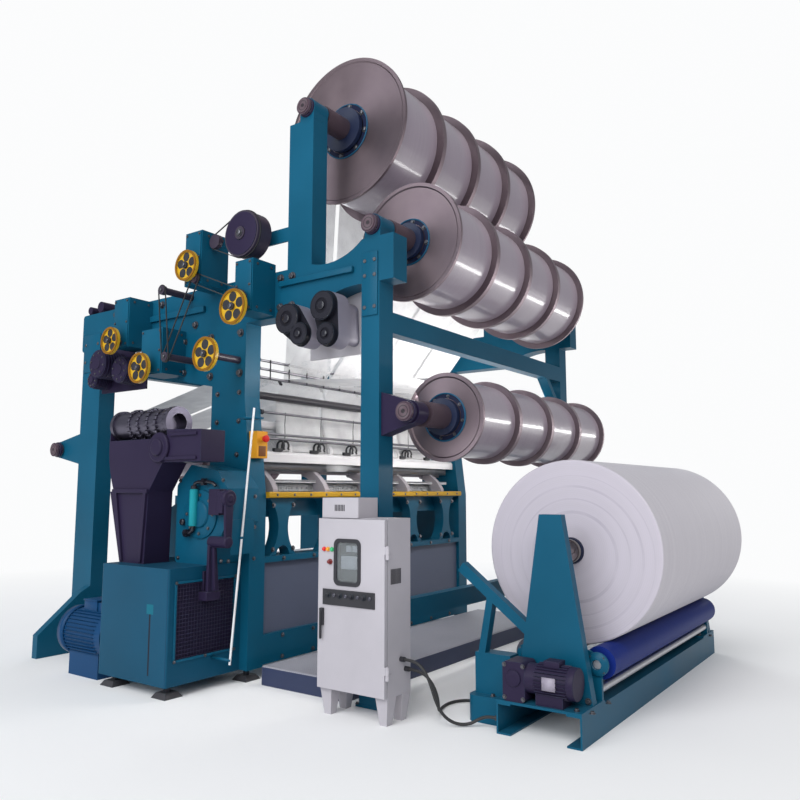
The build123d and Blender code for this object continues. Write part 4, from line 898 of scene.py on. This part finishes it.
# Clamps that hold the yarn rods to the end frames and the hangers
rodClamps = {"x": 1216, "rods": [(-560, 2068, 9), (-560, 2010, 9), (-560, 1952, 9), (-600, 1710, 9),
                                 (-600, 1566, 9), (-600, 1535, 9), (-30, 2040, 20), (-500, 1838, 28)]}
for y, z, radius in rodClamps["rods"]:
    profile = [(-9, radius + 0.2), (-9, radius + 8), (9, radius + 8), (9, radius + 0.2)]
    for side in (-1, 1):
        put("rodClamps", ringTurned(profile, (side * rodClamps["x"], y, z), (side, 0, 0), 24))
makeKit("rodClamps", blackMetal, "steel_rod")
print("knitting head details")

# Drive end: mesh guard with its rim, bolts and covers
meshGuard = {"x": (-1861, -1421), "z": (215, 645), "y": -598.5, "pitch": 22, "wire": 1.6, "rim": 14}
(x0, x1), (z0, z1), y = meshGuard["x"], meshGuard["z"], meshGuard["y"]
w, rim = meshGuard["wire"], meshGuard["rim"]
xs, zs = np.arange(x0 + 6, x1, meshGuard["pitch"]), np.arange(z0 + 6, z1, meshGuard["pitch"])
makeKit("meshGuard", plum, "plum_casting", boxes(grid(xs - w, y - w, z0), grid(xs + w, y + w, z1)),
        boxes(grid(x0, y - 2.2 * w, zs - w), grid(x1, y + 0.2 * w, zs + w)), smooth=False)
makeKit("meshRim", teal, "plum_casting", boxes(
    [(x0 - rim, -606, z0 - rim), (x0 - rim, -606, z1), (x0 - rim, -606, z0), (x1, -606, z0)],
    [(x1 + rim, -599.7, z0), (x1 + rim, -599.7, z1 + rim), (x0, -599.7, z1), (x1 + rim, -599.7, z1)]),
    smooth=False, bevel=0.0012)
caseX, caseY, _ = boxOf("gear_case")[0]
gearCover = {"y": -505, "z": 1040, "radius": 150, "bolts": 8, "boltReach": 118}
y, z, radius = gearCover["y"], gearCover["z"], gearCover["radius"]
put("driveBolts", hexHeads(grid((-1868, -1641, -1414), -606, (208, 652)), front, 13, 8),
    hexHeads(grid(caseX, (-700, -300), (765, 1250)), near, 16, 10),
    hexHeads(grid((caseX + 20, -1391), caseY, (765, 960, 1150)), front, 16, 10),
    hexHeads(boltRing(caseX - 12, y, z, gearCover["boltReach"], gearCover["bolts"]), near, 14, 9))
makeKit("gearCover", teal, "teal_paint",
        turned([(0, radius), (9, radius), (12, radius - 4), (12, 84), (22, 80), (26, 74), (26, 30)],
               (caseX, y, z), near, 64),
        boxes((caseX + 35, caseY - 6, 800), (-1400, caseY + 0.3, 1010)))

# Oil pump on the side of the gear case: light cylinder, its cap, pipe and elbows
oilPump = {"y": -470, "radius": 27, "low": 968, "pipe": 11}
radius, pipe = oilPump["radius"], oilPump["pipe"]
pumpX, pumpY = caseX - radius - 4, oilPump["y"]
makeKit("oilPump", lightTeal, "teal_paint",
        turned([(0, 22), (6, radius), (222, radius), (228, 20)], (pumpX, pumpY, oilPump["low"]), up, 36),
        boxes([(pumpX, -490, 1010), (pumpX, -490, 1140)], [(caseX + 1, -450, 1030), (caseX + 1, -450, 1160)]))
makeKit("oilPipes", blackGloss, "dark_trim",
        turned([(0, 20), (20, 20), (24, 15)], (pumpX, pumpY, 1195), up, 28),
        tubeAlong([(pumpX, -470, 1215), (pumpX, -480, 1232), (pumpX, -505, 1240), (pumpX, -600, 1240),
                   (pumpX, -640, 1234), (pumpX + 6, -662, 1216)], pipe, 14),
        turned([(0, 24), (26, 24)], (pumpX, -548, 1240), front, 6),
        tubeAlong([(pumpX, -470, 972), (pumpX, -468, 944), (pumpX, -446, 926), (pumpX, -400, 922),
                   (pumpX + 8, -376, 922), (caseX + 2, -372, 922)], pipe, 14),
        turned([(0, 26), (24, 26)], (pumpX, -424, 924), back, 6),
        turned([(-1, 24), (16, 24), (20, 18)], (caseX, -372, 922), near, 6),
        turned([(-1, 20), (26, 20), (30, 13)], (caseX, -352, 990), near, 24))

# Shift linkage at the case's front corner: bearing housing, link, and the lever in front of the base
linkage = {"x": -1655, "top": 1140, "knee": 880, "foot": 560}
lx, top, knee, foot = linkage.values()
makeKit("shiftLinkage", plum, "plum_casting",
        boxes((lx - 26, caseY + 4, 1040), (caseX + 2, -640, 1196)),
        boxes((lx - 40, -780, 1052), (lx + 46, caseY + 6, 1184)),
        turned([(0, 52), (26, 52), (34, 44), (34, 24), (40, 20)], (lx, -774, top), front, 40),
        plateOf([(lx - 34, top), (lx + 34, top), (lx + 24, knee), (lx - 24, knee)], -800, -782, "y"),
        turned([(0, 34), (156, 34), (162, 26)], (lx, -644, knee), front, 36),
        plateOf([(lx - 28, knee), (lx + 28, knee), (lx + 58, foot), (lx - 34, foot)], -664, -644, "y"),
        plateOf([(lx - 10, knee - 30), (lx + 10, knee - 30), (lx + 18, foot + 30), (lx + 2, foot + 30)],
                -684, -660, "y"),
        boxes((lx - 44, -668, foot - 26), (lx + 64, -590, foot + 26)),
        boxes((lx - 22, -614, foot), (lx + 26, -599, 704)), bevel=0.004)
makeKit("driveBolts", darkSteel, "plum_casting")

# Pattern stand: round boss on the arm and stiffening ribs down the leg
standX = boxOf("pattern_stand")[0][0]
makeKit("standRibs", plum, "plum_casting",
        turned([(0, 94), (14, 94), (20, 88), (20, 56), (34, 52), (38, 46), (38, 14)],
               (standX + 3, -330, 1452), near, 56),
        boxes((standX - 9, -676, 1372), (standX + 4, -330, 1392)),
        boxes((standX - 9, -676, 1518), (standX + 4, -430, 1538)),
        plateOf([(-196, 745), (-174, 745), (-196, 1176), (-222, 1176)], standX - 15, standX + 5),
        plateOf([(-6, 745), (16, 745), (110, 1176), (84, 1176)], standX - 15, standX + 5),
        boxes((standX - 15, -232, 1170), (standX + 5, 128, 1196)), bevel=0.003)

# Pattern chain on the drum: a ring of links for each guide bar; a link's height follows the sine of its
# angle in whole steps, and its corners are middle + height * outward + offset * sideways
drumLow, drumHigh = boxOf("pattern_drum")
drumX, _, drumZ = (drumLow + drumHigh) / 2
chain = {"barrel": 88, "links": 20, "tracks": 5, "front": -372, "pitch": 92, "width": 34, "step": 4.0}
a = np.arange(chain["links"]) * 2 * np.pi / chain["links"]
low, half = chain["barrel"] - 3.0, 2 * np.pi * chain["barrel"] / chain["links"] * 0.44 * 0.92
for track in range(chain["tracks"]):
    rise = chain["barrel"] + 8 + chain["step"] * np.round(1 + np.sin(a * (1 + track % 3) + track))
    radial = np.where(cubeCorners[:, 2] > 0, rise[:, None], low)
    offset = (2 * cubeCorners[:, 0] - 1) * half
    cosines, sines = np.cos(a)[:, None], np.sin(a)[:, None]
    y = chain["front"] + track * chain["pitch"] + cubeCorners[:, 1] * chain["width"] + 0 * radial
    verts, faces = sixSided(np.stack([drumX + radial * cosines - offset * sines, y,
                                      drumZ + radial * sines + offset * cosines], -1))
    put("patternChain", (verts, [faces[0][:, ::-1]]))
makeKit("patternChain", drumMetal, "silver_casting", smooth=False, bevel=0.0015)


def finsAround(values, angles):
    # straight cooling fins along Y, standing out of a barrel whose axis is along Y
    out = np.stack([np.cos(angles), np.sin(angles)], -1)
    flat = np.stack([-np.sin(angles), np.cos(angles)], -1) * values["thick"] / 2
    inner, outer = (values["radius"] - 3) * out, (values["radius"] + values["rise"]) * out
    corners = np.stack([inner - flat, inner + flat, outer + 0.5 * flat, outer - 0.5 * flat] * 2, 1)
    verts = np.zeros((len(angles), 8, 3))
    verts[:, :4, 1], verts[:, 4:, 1] = values["low"], values["high"]
    verts[:, :, 0], verts[:, :, 2] = values["x"] + corners[:, :, 0], values["z"] + corners[:, :, 1]
    return sixSided(verts)


mainMotor = {"x": -1745, "z": 262, "radius": 150, "low": 150, "high": 470,
             "fins": 40, "rise": 13, "thick": 4.0}
a = np.linspace(0, 2 * np.pi, mainMotor["fins"], endpoint=False)
a = a[np.abs(np.angle(np.exp(1j * (a - np.pi / 2)))) > 0.35]
makeKit("mainMotorFins", bluePaint, "motor_blue", finsAround(mainMotor, a),
        boxes((-1815, 250, 405), (-1675, 390, 470)), boxes((-1820, 245, 470), (-1670, 395, 478)),
        smooth=False, bevel=0.0015)
print("drive end details")

# Batcher: bolts, flange bearings at the rollers, end rings and plugs of the roll
batcher = {"standBolts": (-2810, -2720, -2544, -2454), "rollers": (-2822, -2442), "rollerZ": 335.6}
put("batcherBolts", hexHeads(grid(-1170, batcher["standBolts"], 180), near, 20, 13),
    hexHeads(grid(1180, batcher["standBolts"], 180), far, 20, 13),
    hexHeads(grid((-1290, -1080, 980), (-2876, -2800, -2434, -2358), 162), up, 18, 12))
for y in batcher["rollers"]:
    for face, side in ((-1062.0, -1), (1072.0, 1)):
        put("rollerBearings", ringTurned([(0, 24), (0, 58), (10, 56), (22, 40), (24, 24)],
                                         (face, y, batcher["rollerZ"]), (side, 0, 0), 36))
        bolts = [(face + side * 9, y + 46 * np.cos(t), batcher["rollerZ"] + 46 * np.sin(t))
                 for t in (0.8, 2.36, 3.93, 5.5)]
        put("batcherBolts", hexHeads(bolts, (side, 0, 0), 12, 8))
makeKit("rollerBearings", teal, "teal_paint")
makeKit("batcherTube", bright, "teal_paint", turned([(-1046, 23), (1054, 23)], (0, -2812, 211), far, 32))
makeKit("batcherBolts", darkSteel, "teal_paint")
for face, side in ((-899.0, -1), (985.0, 1)):
    centre, out = (face, rollPlace["y"], rollPlace["z"]), (side, 0, 0)
    put("rollEndRings", ringTurned([(-1, 61), (20, 61), (20, 67), (4, 71), (-1, 71)], centre, out))
    put("rollPlugs",
        turned([(-60, 53.5), (-6, 53.5), (-5, 49), (-8, 46), (-8, 16), (-3, 13)], centre, out, 40))
makeKit("rollEndRings", navyPaintAndShade, "roll_cloth", body="cloth_roll")
makeKit("rollPlugs", plastic("plugBoard", (0.27, 0.22, 0.25), 0.5), "roll_cloth", body="cloth_roll")

# Let-off gear: lids and screws on the boxes, black discs on the pulleys as painted shade in their holes, and
# nuts on the pulleys
letOff = {
    "boxes": [(-1590, -396, -230, 2540, 2905), (-1560, -850, -690, 2300, 2640), (-1560, 410, 590, 2215, 2575),
              (-1560, 20, 250, 1985, 2305)],
    "pulleys": [(-313, 2660, 104), (-770, 2318, 112), (-525, 2046, 110), (500, 2250, 98), (150, 2020, 106)],
    "sheaves": [(-360, 2574), (-786, 2395), (-85, 2079), (-27, 2545)], "lid": 7, "spokes": 5,
    "drum": (-1545, -718, 2827),
}
for x, y0, y1, z0, z1 in letOff["boxes"]:
    put("boxLids", boxes((x - letOff["lid"], y0 + 9, z0 + 9), (x + 0.3, y1 - 9, z1 - 9)))
    middle = (x - endFace) / 2
    put("boxScrews",
        hexHeads(grid(x - letOff["lid"], (y0 + 22, y1 - 22), (z0 + 22, (z0 + z1) / 2, z1 - 22)), near, 12, 7),
        hexHeads(grid((middle - 60, middle + 60), y0, (z0 + 30, z1 - 30)), front, 12, 7))
makeKit("boxLids", teal, "teal_paint", smooth=False, bevel=0.002)
for y, z, radius in letOff["pulleys"]:
    edge = radius + 0.4
    put("pulleyRims", ringTurned([(-0.5, radius - 15), (-0.5, edge), (-5, edge), (-5, radius - 15)],
                                 (-1652, y, z), far, 56))
    # black discs where the pulley has holes: painted shade inside the holes
    holeShade = turned([(0, 0.29 * radius), (1.6, 0.29 * radius), (1.6, 2)], (0, 0, 0), near, 22)
    put("pulleyHoles", repeated(holeShade, boltRing(-1646.9, y, z, 0.56 * radius, letOff["spokes"], 0.3)))
    put("boxScrews", hexHeads([(-1666, y, z)], near, 26, 12))
drumX, y, z = letOff["drum"]
put("boxScrews", hexHeads([(-1624, *place) for place in letOff["sheaves"]], near, 20, 10),
    hexHeads([(drumX - 16, y, z)], near, 34, 14))
makeKit("drumFace", plum, "plum_casting",
        ringTurned([(0, 44), (0, 140), (-4, 140), (-9, 60), (-9, 44)], letOff["drum"], far, 64))
makeKit("pulleyRims", pulleyYellow, "silver_casting")
makeKit("pulleyHoles", black, "dark_trim")
makeKit("boxScrews", darkSteel, "silver_casting")

# Small motors: end bells with rings and bolts, caps
motors = {
    "hung": [(548, 2060, 96, 150), (760, 2120, 104, 190), (912, 2018, 62, 130)], "face": -1377, "rings": 6,
    "twin": [(-1092, 2225, 100), (-1190, 2122, 76), (-1372, 2268, 96), (-1402, 2096, 74)], "cap": -1504,
}
for y, z, radius, length in motors["hung"]:
    x = motors["face"] - length
    bell = [(0, radius - 6), (7, radius - 10), (7, radius * 0.45), (16, radius * 0.4), (16, 8)]
    put("hungBells", turned(bell, (x, y, z), near, 40))
    put("motorScrews", hexHeads(boltRing(x - 7.0, y, z, 0.74 * radius, 8, 0.2), near, 10, 6))
    inner, outer = radius - 2, radius + 5
    ring = ringTurned([(0, inner), (0, outer), (5, outer), (5, inner)], (x + 22, y, z), far, 40)
    put("hungBells", *[repeated(ring, (k * (length - 50) / 6, 0, 0)) for k in range(motors["rings"])])
makeKit("hungBells", plum, "plum_casting")
for y, z, radius in motors["twin"]:
    centre, face = (motors["cap"], y, z), radius - 7
    put("twinCaps", ringTurned([(-0.4, 0.5 * face), (4, 0.52 * face), (4, 0.9 * face), (-0.4, 0.94 * face)],
                               centre, near),
        turned([(0, 0.3 * face), (10, 0.28 * face), (12, 0.2 * face)], centre, near, 32))
makeKit("twinCaps", blackGloss, "dark_trim")

# Main motor's fan cover and the batcher's gear motor: fins, cowl and lid
x, z = mainMotor["x"], mainMotor["z"]
ribs = np.arange(-140, 141, 14.0)  # a rib at this distance reaches sqrt(150^2 - distance^2) up and down
reach, level = np.sqrt(np.maximum(150.0 ** 2 - ribs ** 2, 100)), np.full(len(ribs), 550.0)
makeKit("fanCowl", bluePaint, "motor_blue",
        ringTurned([(-0.5, 60), (-0.5, 158), (-70, 162), (-70, 150), (-8, 148), (-8, 60)],
                   (x, 550, z), back, 56),
        boxes(np.c_[x + ribs - 2, level, z - reach], np.c_[x + ribs + 2, level + 4, z + reach]), smooth=False)
gearMotor = {"x": -1262, "z": 274, "radius": 72, "low": -2760, "high": -2600,
             "fins": 26, "rise": 9, "thick": 3.4}
a = np.linspace(0, 2 * np.pi, gearMotor["fins"], endpoint=False) + 0.1
makeKit("gearMotorFins", plum, "plum_casting", finsAround(gearMotor, a),
        boxes((-1300, -2720, 340), (-1224, -2640, 372)),
        ringTurned([(-0.5, 30), (-0.5, 77), (-34, 79), (-34, 70), (-6, 70), (-6, 30)],
                   (gearMotor["x"], -2800, gearMotor["z"]), front, 40),
        turned([(0, 40), (8, 38), (8, 12)], (-1324, -2490, 274), near, 32), smooth=False, bevel=0.001)
makeKit("motorScrews", darkSteel, "plum_casting",
        hexHeads(grid(-1324, (-2540, -2440), (180, 335)), near, 14, 9))
makeKit("ratingPlates", plastic("ratingPlate", (0.30, 0.27, 0.34), 0.4), "silver_casting",
        boxes((-1345, -2714, 244), (-1330, -2648, 304)), smooth=False)

# Bearing caps on the beam seats and collars on the shaft ends
for name, values in beamPlaces.items():
    y, z = values["y"], values["z"]
    for side in (-1, 1):
        out = (side, 0, 0)
        put("bearingCaps", ringTurned([(0, 46), (0, 62), (12, 60), (16, 54), (16, 46)],
                                      (side * endFace, y, z), out, 40))
        put("bearingScrews", hexHeads(boltRing(side * (endFace + 12), y, z, 53, 4, 0.78), out, 8, 5))
        put(name + "Collars", ringTurned([(0, 44.5), (0, 55), (18, 55), (18, 44.5)],
                                         (side * (endFace + 21), y, z), out, 40))
    makeKit(name + "Collars", shaftEnd, "beam_aluminium", body=values["body"])
makeKit("bearingCaps", plum, "teal_paint")
makeKit("bearingScrews", darkSteel, "teal_paint")

# Base plates with anchor studs under the creel posts
postFeet = {"thick": 14, "posts": [(-1373, -1214, 1020, 1300), (1214, 1373, 1020, 1300),
                                   (-1366, -1200, -1712, -1536), (1200, 1373, -1712, -1536)]}
for x0, x1, y0, y1 in postFeet["posts"]:
    put("postFeet", boxes((x0, y0, 0), (x1, y1, postFeet["thick"])))
    put("footStuds", hexHeads(grid((x0 + 6, x1 - 6), (y0 + 10, y1 - 10), postFeet["thick"]), up, 15, 11))
makeKit("postFeet", teal, "teal_paint", smooth=False, bevel=0.002)
makeKit("footStuds", darkSteel, "teal_paint")

# Conduit down the drive-end column with its saddles, and the wiring duct on the crossbeam
conduit = {"radius": 7, "line": [(-1432, -756, 1706), (-1582, -756, 160)]}
makeKit("conduit", plastic("conduitWhite", (0.72, 0.72, 0.74), 0.4), "cabinet_paint",
        tubeAlong(conduit["line"], conduit["radius"], 14))
makeKit("conduitSaddles", teal, "steel_rod",
        boxes([(-1442, -762, 1640), (-1520, -764, 893), (-1590, -762, 180)],
              [(-1352, -636, 1652), (-1500, caseY + 0.3, 907), (-1568, -598, 192)]), smooth=False)
makeKit("wiringDuct", teal, "grey_panel", boxes((-1384, -180, 2420), (-1360.7, 900, 2462)),
        boxes((-1384, -1500, 2480), (-1360.7, -900, 2516)), smooth=False, bevel=0.002)

# Stop box: mushroom button on its collar, and the plate under it
stopBox = {"x": -1293, "front": -710, "z": 1520}
x, y, z = stopBox.values()
makeKit("stopButton", paint("signalRed", (0.55, 0.012, 0.012), 0.3, 0.1, dust=0.1), "yellow_paint",
        turned([(-1, 19), (9, 19), (16, 24), (24, 23), (28, 14), (29, 4)], (x, y, z), front, 36))
makeKit("stopPlate", paint("stopPlateBrown", (0.16, 0.06, 0.02), 0.4), "yellow_paint",
        boxes((x - 30, y + 13, z - 112), (x + 30, y + 18.6, z - 46)), smooth=False, bevel=0.0015)
print("drive trim, motors and feet")

# Control cabinet: window contents in front of a black sheet that is painted shade inside the cabinet, vents
# drawn as black slats of painted shade, handle, lamps and knobs
cabinetBits = {"front": -1604, "stripFace": -1610, "stripZ": 632, "strip": np.arange(-1820, -1539, 40),
               "lampY": (-1505, -1532, -1559), "lampZ": 872, "lampRadius": 10, "ventPitch": 10.5}
capColours = {"red": (0.62, 0.02, 0.02), "amber": (0.75, 0.30, 0.02), "green": (0.04, 0.42, 0.16)}
unitLow, unitHigh = boxOf("cabinet_top_unit")
vents = np.arange(-32, 33, cabinetBits["ventPitch"]) + (unitLow[1] + unitHigh[1]) / 2
# black sheet behind the window parts and black vent slats: painted shade inside the cabinet and its vents
makeKit("cabinetDark", black, "dark_trim", boxes((-1577.5, -1738, 702), (-1575.5, -1592, 913)),
        blocks(grid(np.arange(-1548, -1462, cabinetBits["ventPitch"]), -1912.2, 743), (5, 3, 78)),
        blocks(grid(unitLow[0] - 0.8, vents, (unitLow[2] + unitHigh[2]) / 2), (3, 5, 34)),
        smooth=False, bevel=0.0006)
makeKit("doorHandle", black, "dark_trim", boxes((-1622, -1508, 470), (-1604, -1486, 560)),
        boxes((-1628, -1502, 400), (-1616, -1492, 545)), body="door", bevel=0.0015)
knob = turned([(0, 15), (4, 15), (5, 11), (17, 10), (19, 7)], (0, 0, 0), near, 24)
lamp = turned([(0, 11), (4, 11), (7, 8), (8, 4)], (0, 0, 0), near, 20)
strip = grid(cabinetBits["stripFace"], cabinetBits["strip"], cabinetBits["stripZ"])
makeKit("stripKnobs", blackMetal, "dark_trim", repeated(knob, strip[1::2]), body="door")
makeKit("stripLamps", plastic("lampCaps", (0.05, 0.05, 0.07), 0.25), "dark_trim", repeated(lamp, strip[::2]),
        body="door")
radius = cabinetBits["lampRadius"]
for y, (key, colour) in zip(cabinetBits["lampY"], capColours.items()):
    makeKit(key + "Lamp", plastic(key + "Cap", colour, 0.25), "dark_trim",
            turned([(-1, 12.5), (4, 12.5), (5, radius), (12, radius - 1), (14, 4)],
                   (cabinetBits["front"], y, cabinetBits["lampZ"]), near, 24), body="door")
makeKit("doorKnob", plastic("knobRed", (0.17, 0.012, 0.012), 0.3), "dark_trim",
        turned([(-1, 15), (6, 15), (8, 11), (20, 9), (22, 5)], (cabinetBits["front"], -1548, 806), near, 28),
        body="door")
makeKit("windowParts", cabinetPaint, "cabinet_paint",
        boxes([(-1592, -1722, 862), (-1592, -1680, 862), (-1590, -1722, 770)],
              [(-1577.4, -1690, 894), (-1577.4, -1648, 894), (-1577.4, -1612, 840)]),
        smooth=False, bevel=0.002)
print("cabinet details")

# Stage and light
lights = {
    "key": {"place": (-9.0, -7.5, 6.0), "size": 4.5, "power": 330, "colour": (1.0, 0.97, 0.94)},
    "side": {"place": (-9.5, 0.5, 4.5), "size": 5.0, "power": 330, "colour": (0.92, 0.96, 1.0)},
    "knitting": {"place": (0.26, -0.98, 1.98), "size": 2.2, "thin": 0.5, "power": 33,
                 "colour": (1.0, 0.985, 0.95), "toward": (0.26, 0.10, 1.60)},
    "above": {"place": (0.26, -0.4, 2.50), "size": 2.0, "thin": 0.5, "power": 4, "colour": (1.0, 0.99, 0.96),
              "toward": (0.26, 0.08, 1.6)},
    "stripe": {"place": (3.9, -3.06, 1.66), "size": 5.5, "thin": 0.30, "power": 70,
               "colour": (1.0, 0.99, 0.98), "toward": (3.9, -1.0, 2.7), "glossOnly": True},
    "back": {"place": (6.0, 5.0, 5.5), "size": 4.0, "power": 220, "colour": (0.95, 0.97, 1.0)},
}
lightMiddle = (0.2, 0.0, 1.4)  # what a light without its own aim looks at
sunLight = {"toward": (0.85, 0.12, -0.95), "strength": 1.15, "angle": 0.6}
skyLight = {"colour": (0.86, 0.90, 0.95), "strength": 0.36, "backdrop": (0.97, 0.975, 0.98)}
floorPlane = {"half": 40, "near": 2.6, "far": 7.0, "dark": (0.89, 0.89, 0.90), "light": (0.95, 0.95, 0.95)}


def floorFinish(values):
    # far from the machine the floor takes the backdrop's own light, so no horizon shows
    mat = Finish("paleFloor", 0.72, gloss=0.0)
    tone = mat.group(toneDrift, Slow=0.6, Fine=60.0)["Shade"]
    x, y = mat.along("X") - bedX, mat.along("Y") - bedY
    reach = (x * x + y * y).math("SQRT") - values["near"]
    fade = reach.math("DIVIDE", values["far"] - values["near"], clamp=True)
    base = mat.mix(tone, values["dark"], values["light"])
    return mat.set(Base_Color=mat.mix(fade, base, (0.0, 0.0, 0.0)), Emission_Strength=1.0,
                   Emission_Color=mat.mix(fade, (0.0, 0.0, 0.0), skyLight["backdrop"]))


def setFloor(values):
    half = values["half"]
    mesh = bpy.data.meshes.new("floor")
    corners = [(-half, -half, 0), (half, -half, 0), (half, half, 0), (-half, half, 0)]
    mesh.from_pydata(corners, [], [(0, 1, 2, 3)])
    mesh.materials.append(floorFinish(values))
    floor = bpy.data.objects.new("floor", mesh)
    scene.collection.objects.link(floor)
    floor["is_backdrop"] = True


def setSky(values):
    # the camera sees the backdrop, everything else is lit by the softer sky colour
    world = bpy.data.worlds.new("studio")
    world.use_nodes = True
    sky = Sheet(world.node_tree)
    soft = sky.tree.nodes["Background"]
    sky.feed(soft.inputs[0], values["colour"])
    sky.feed(soft.inputs[1], values["strength"])
    seen = sky.add("Background", 0, {0: values["backdrop"]})
    rays = sky.add("LightPath", "Is Camera Ray")
    sky.feed(sky.tree.nodes["World Output"].inputs[0],
             sky.add("MixShader", 0, {0: rays, 1: Wire(sky, soft.outputs[0]), 2: seen}))
    scene.world = world
    scene.view_settings.view_transform, scene.view_settings.look = "Standard", "None"


def hangLight(name, kind, aim):
    data = bpy.data.lights.new(name, kind)
    light = bpy.data.objects.new(name, data)
    light.rotation_euler = aim.to_track_quat("-Z", "Y").to_euler()
    scene.collection.objects.link(light)
    return data, light


def setLights():
    sun = hangLight("sun", "SUN", Vector(sunLight["toward"]))[0]
    sun.energy, sun.angle = sunLight["strength"], sunLight["angle"]
    for name, values in lights.items():
        aim = Vector(values.get("toward", lightMiddle)) - Vector(values["place"])
        data, light = hangLight(name, "AREA", aim)
        data.energy, data.color = values["power"], values["colour"]
        data.shape, data.size = "RECTANGLE", values["size"]
        data.size_y = values.get("thin", values["size"])
        light.location = values["place"]
        light.visible_camera = False
        light.visible_diffuse = not values.get("glossOnly", False)


setFloor(floorPlane)
setSky(skyLight)
setLights()
print("stage ready")

low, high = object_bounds()
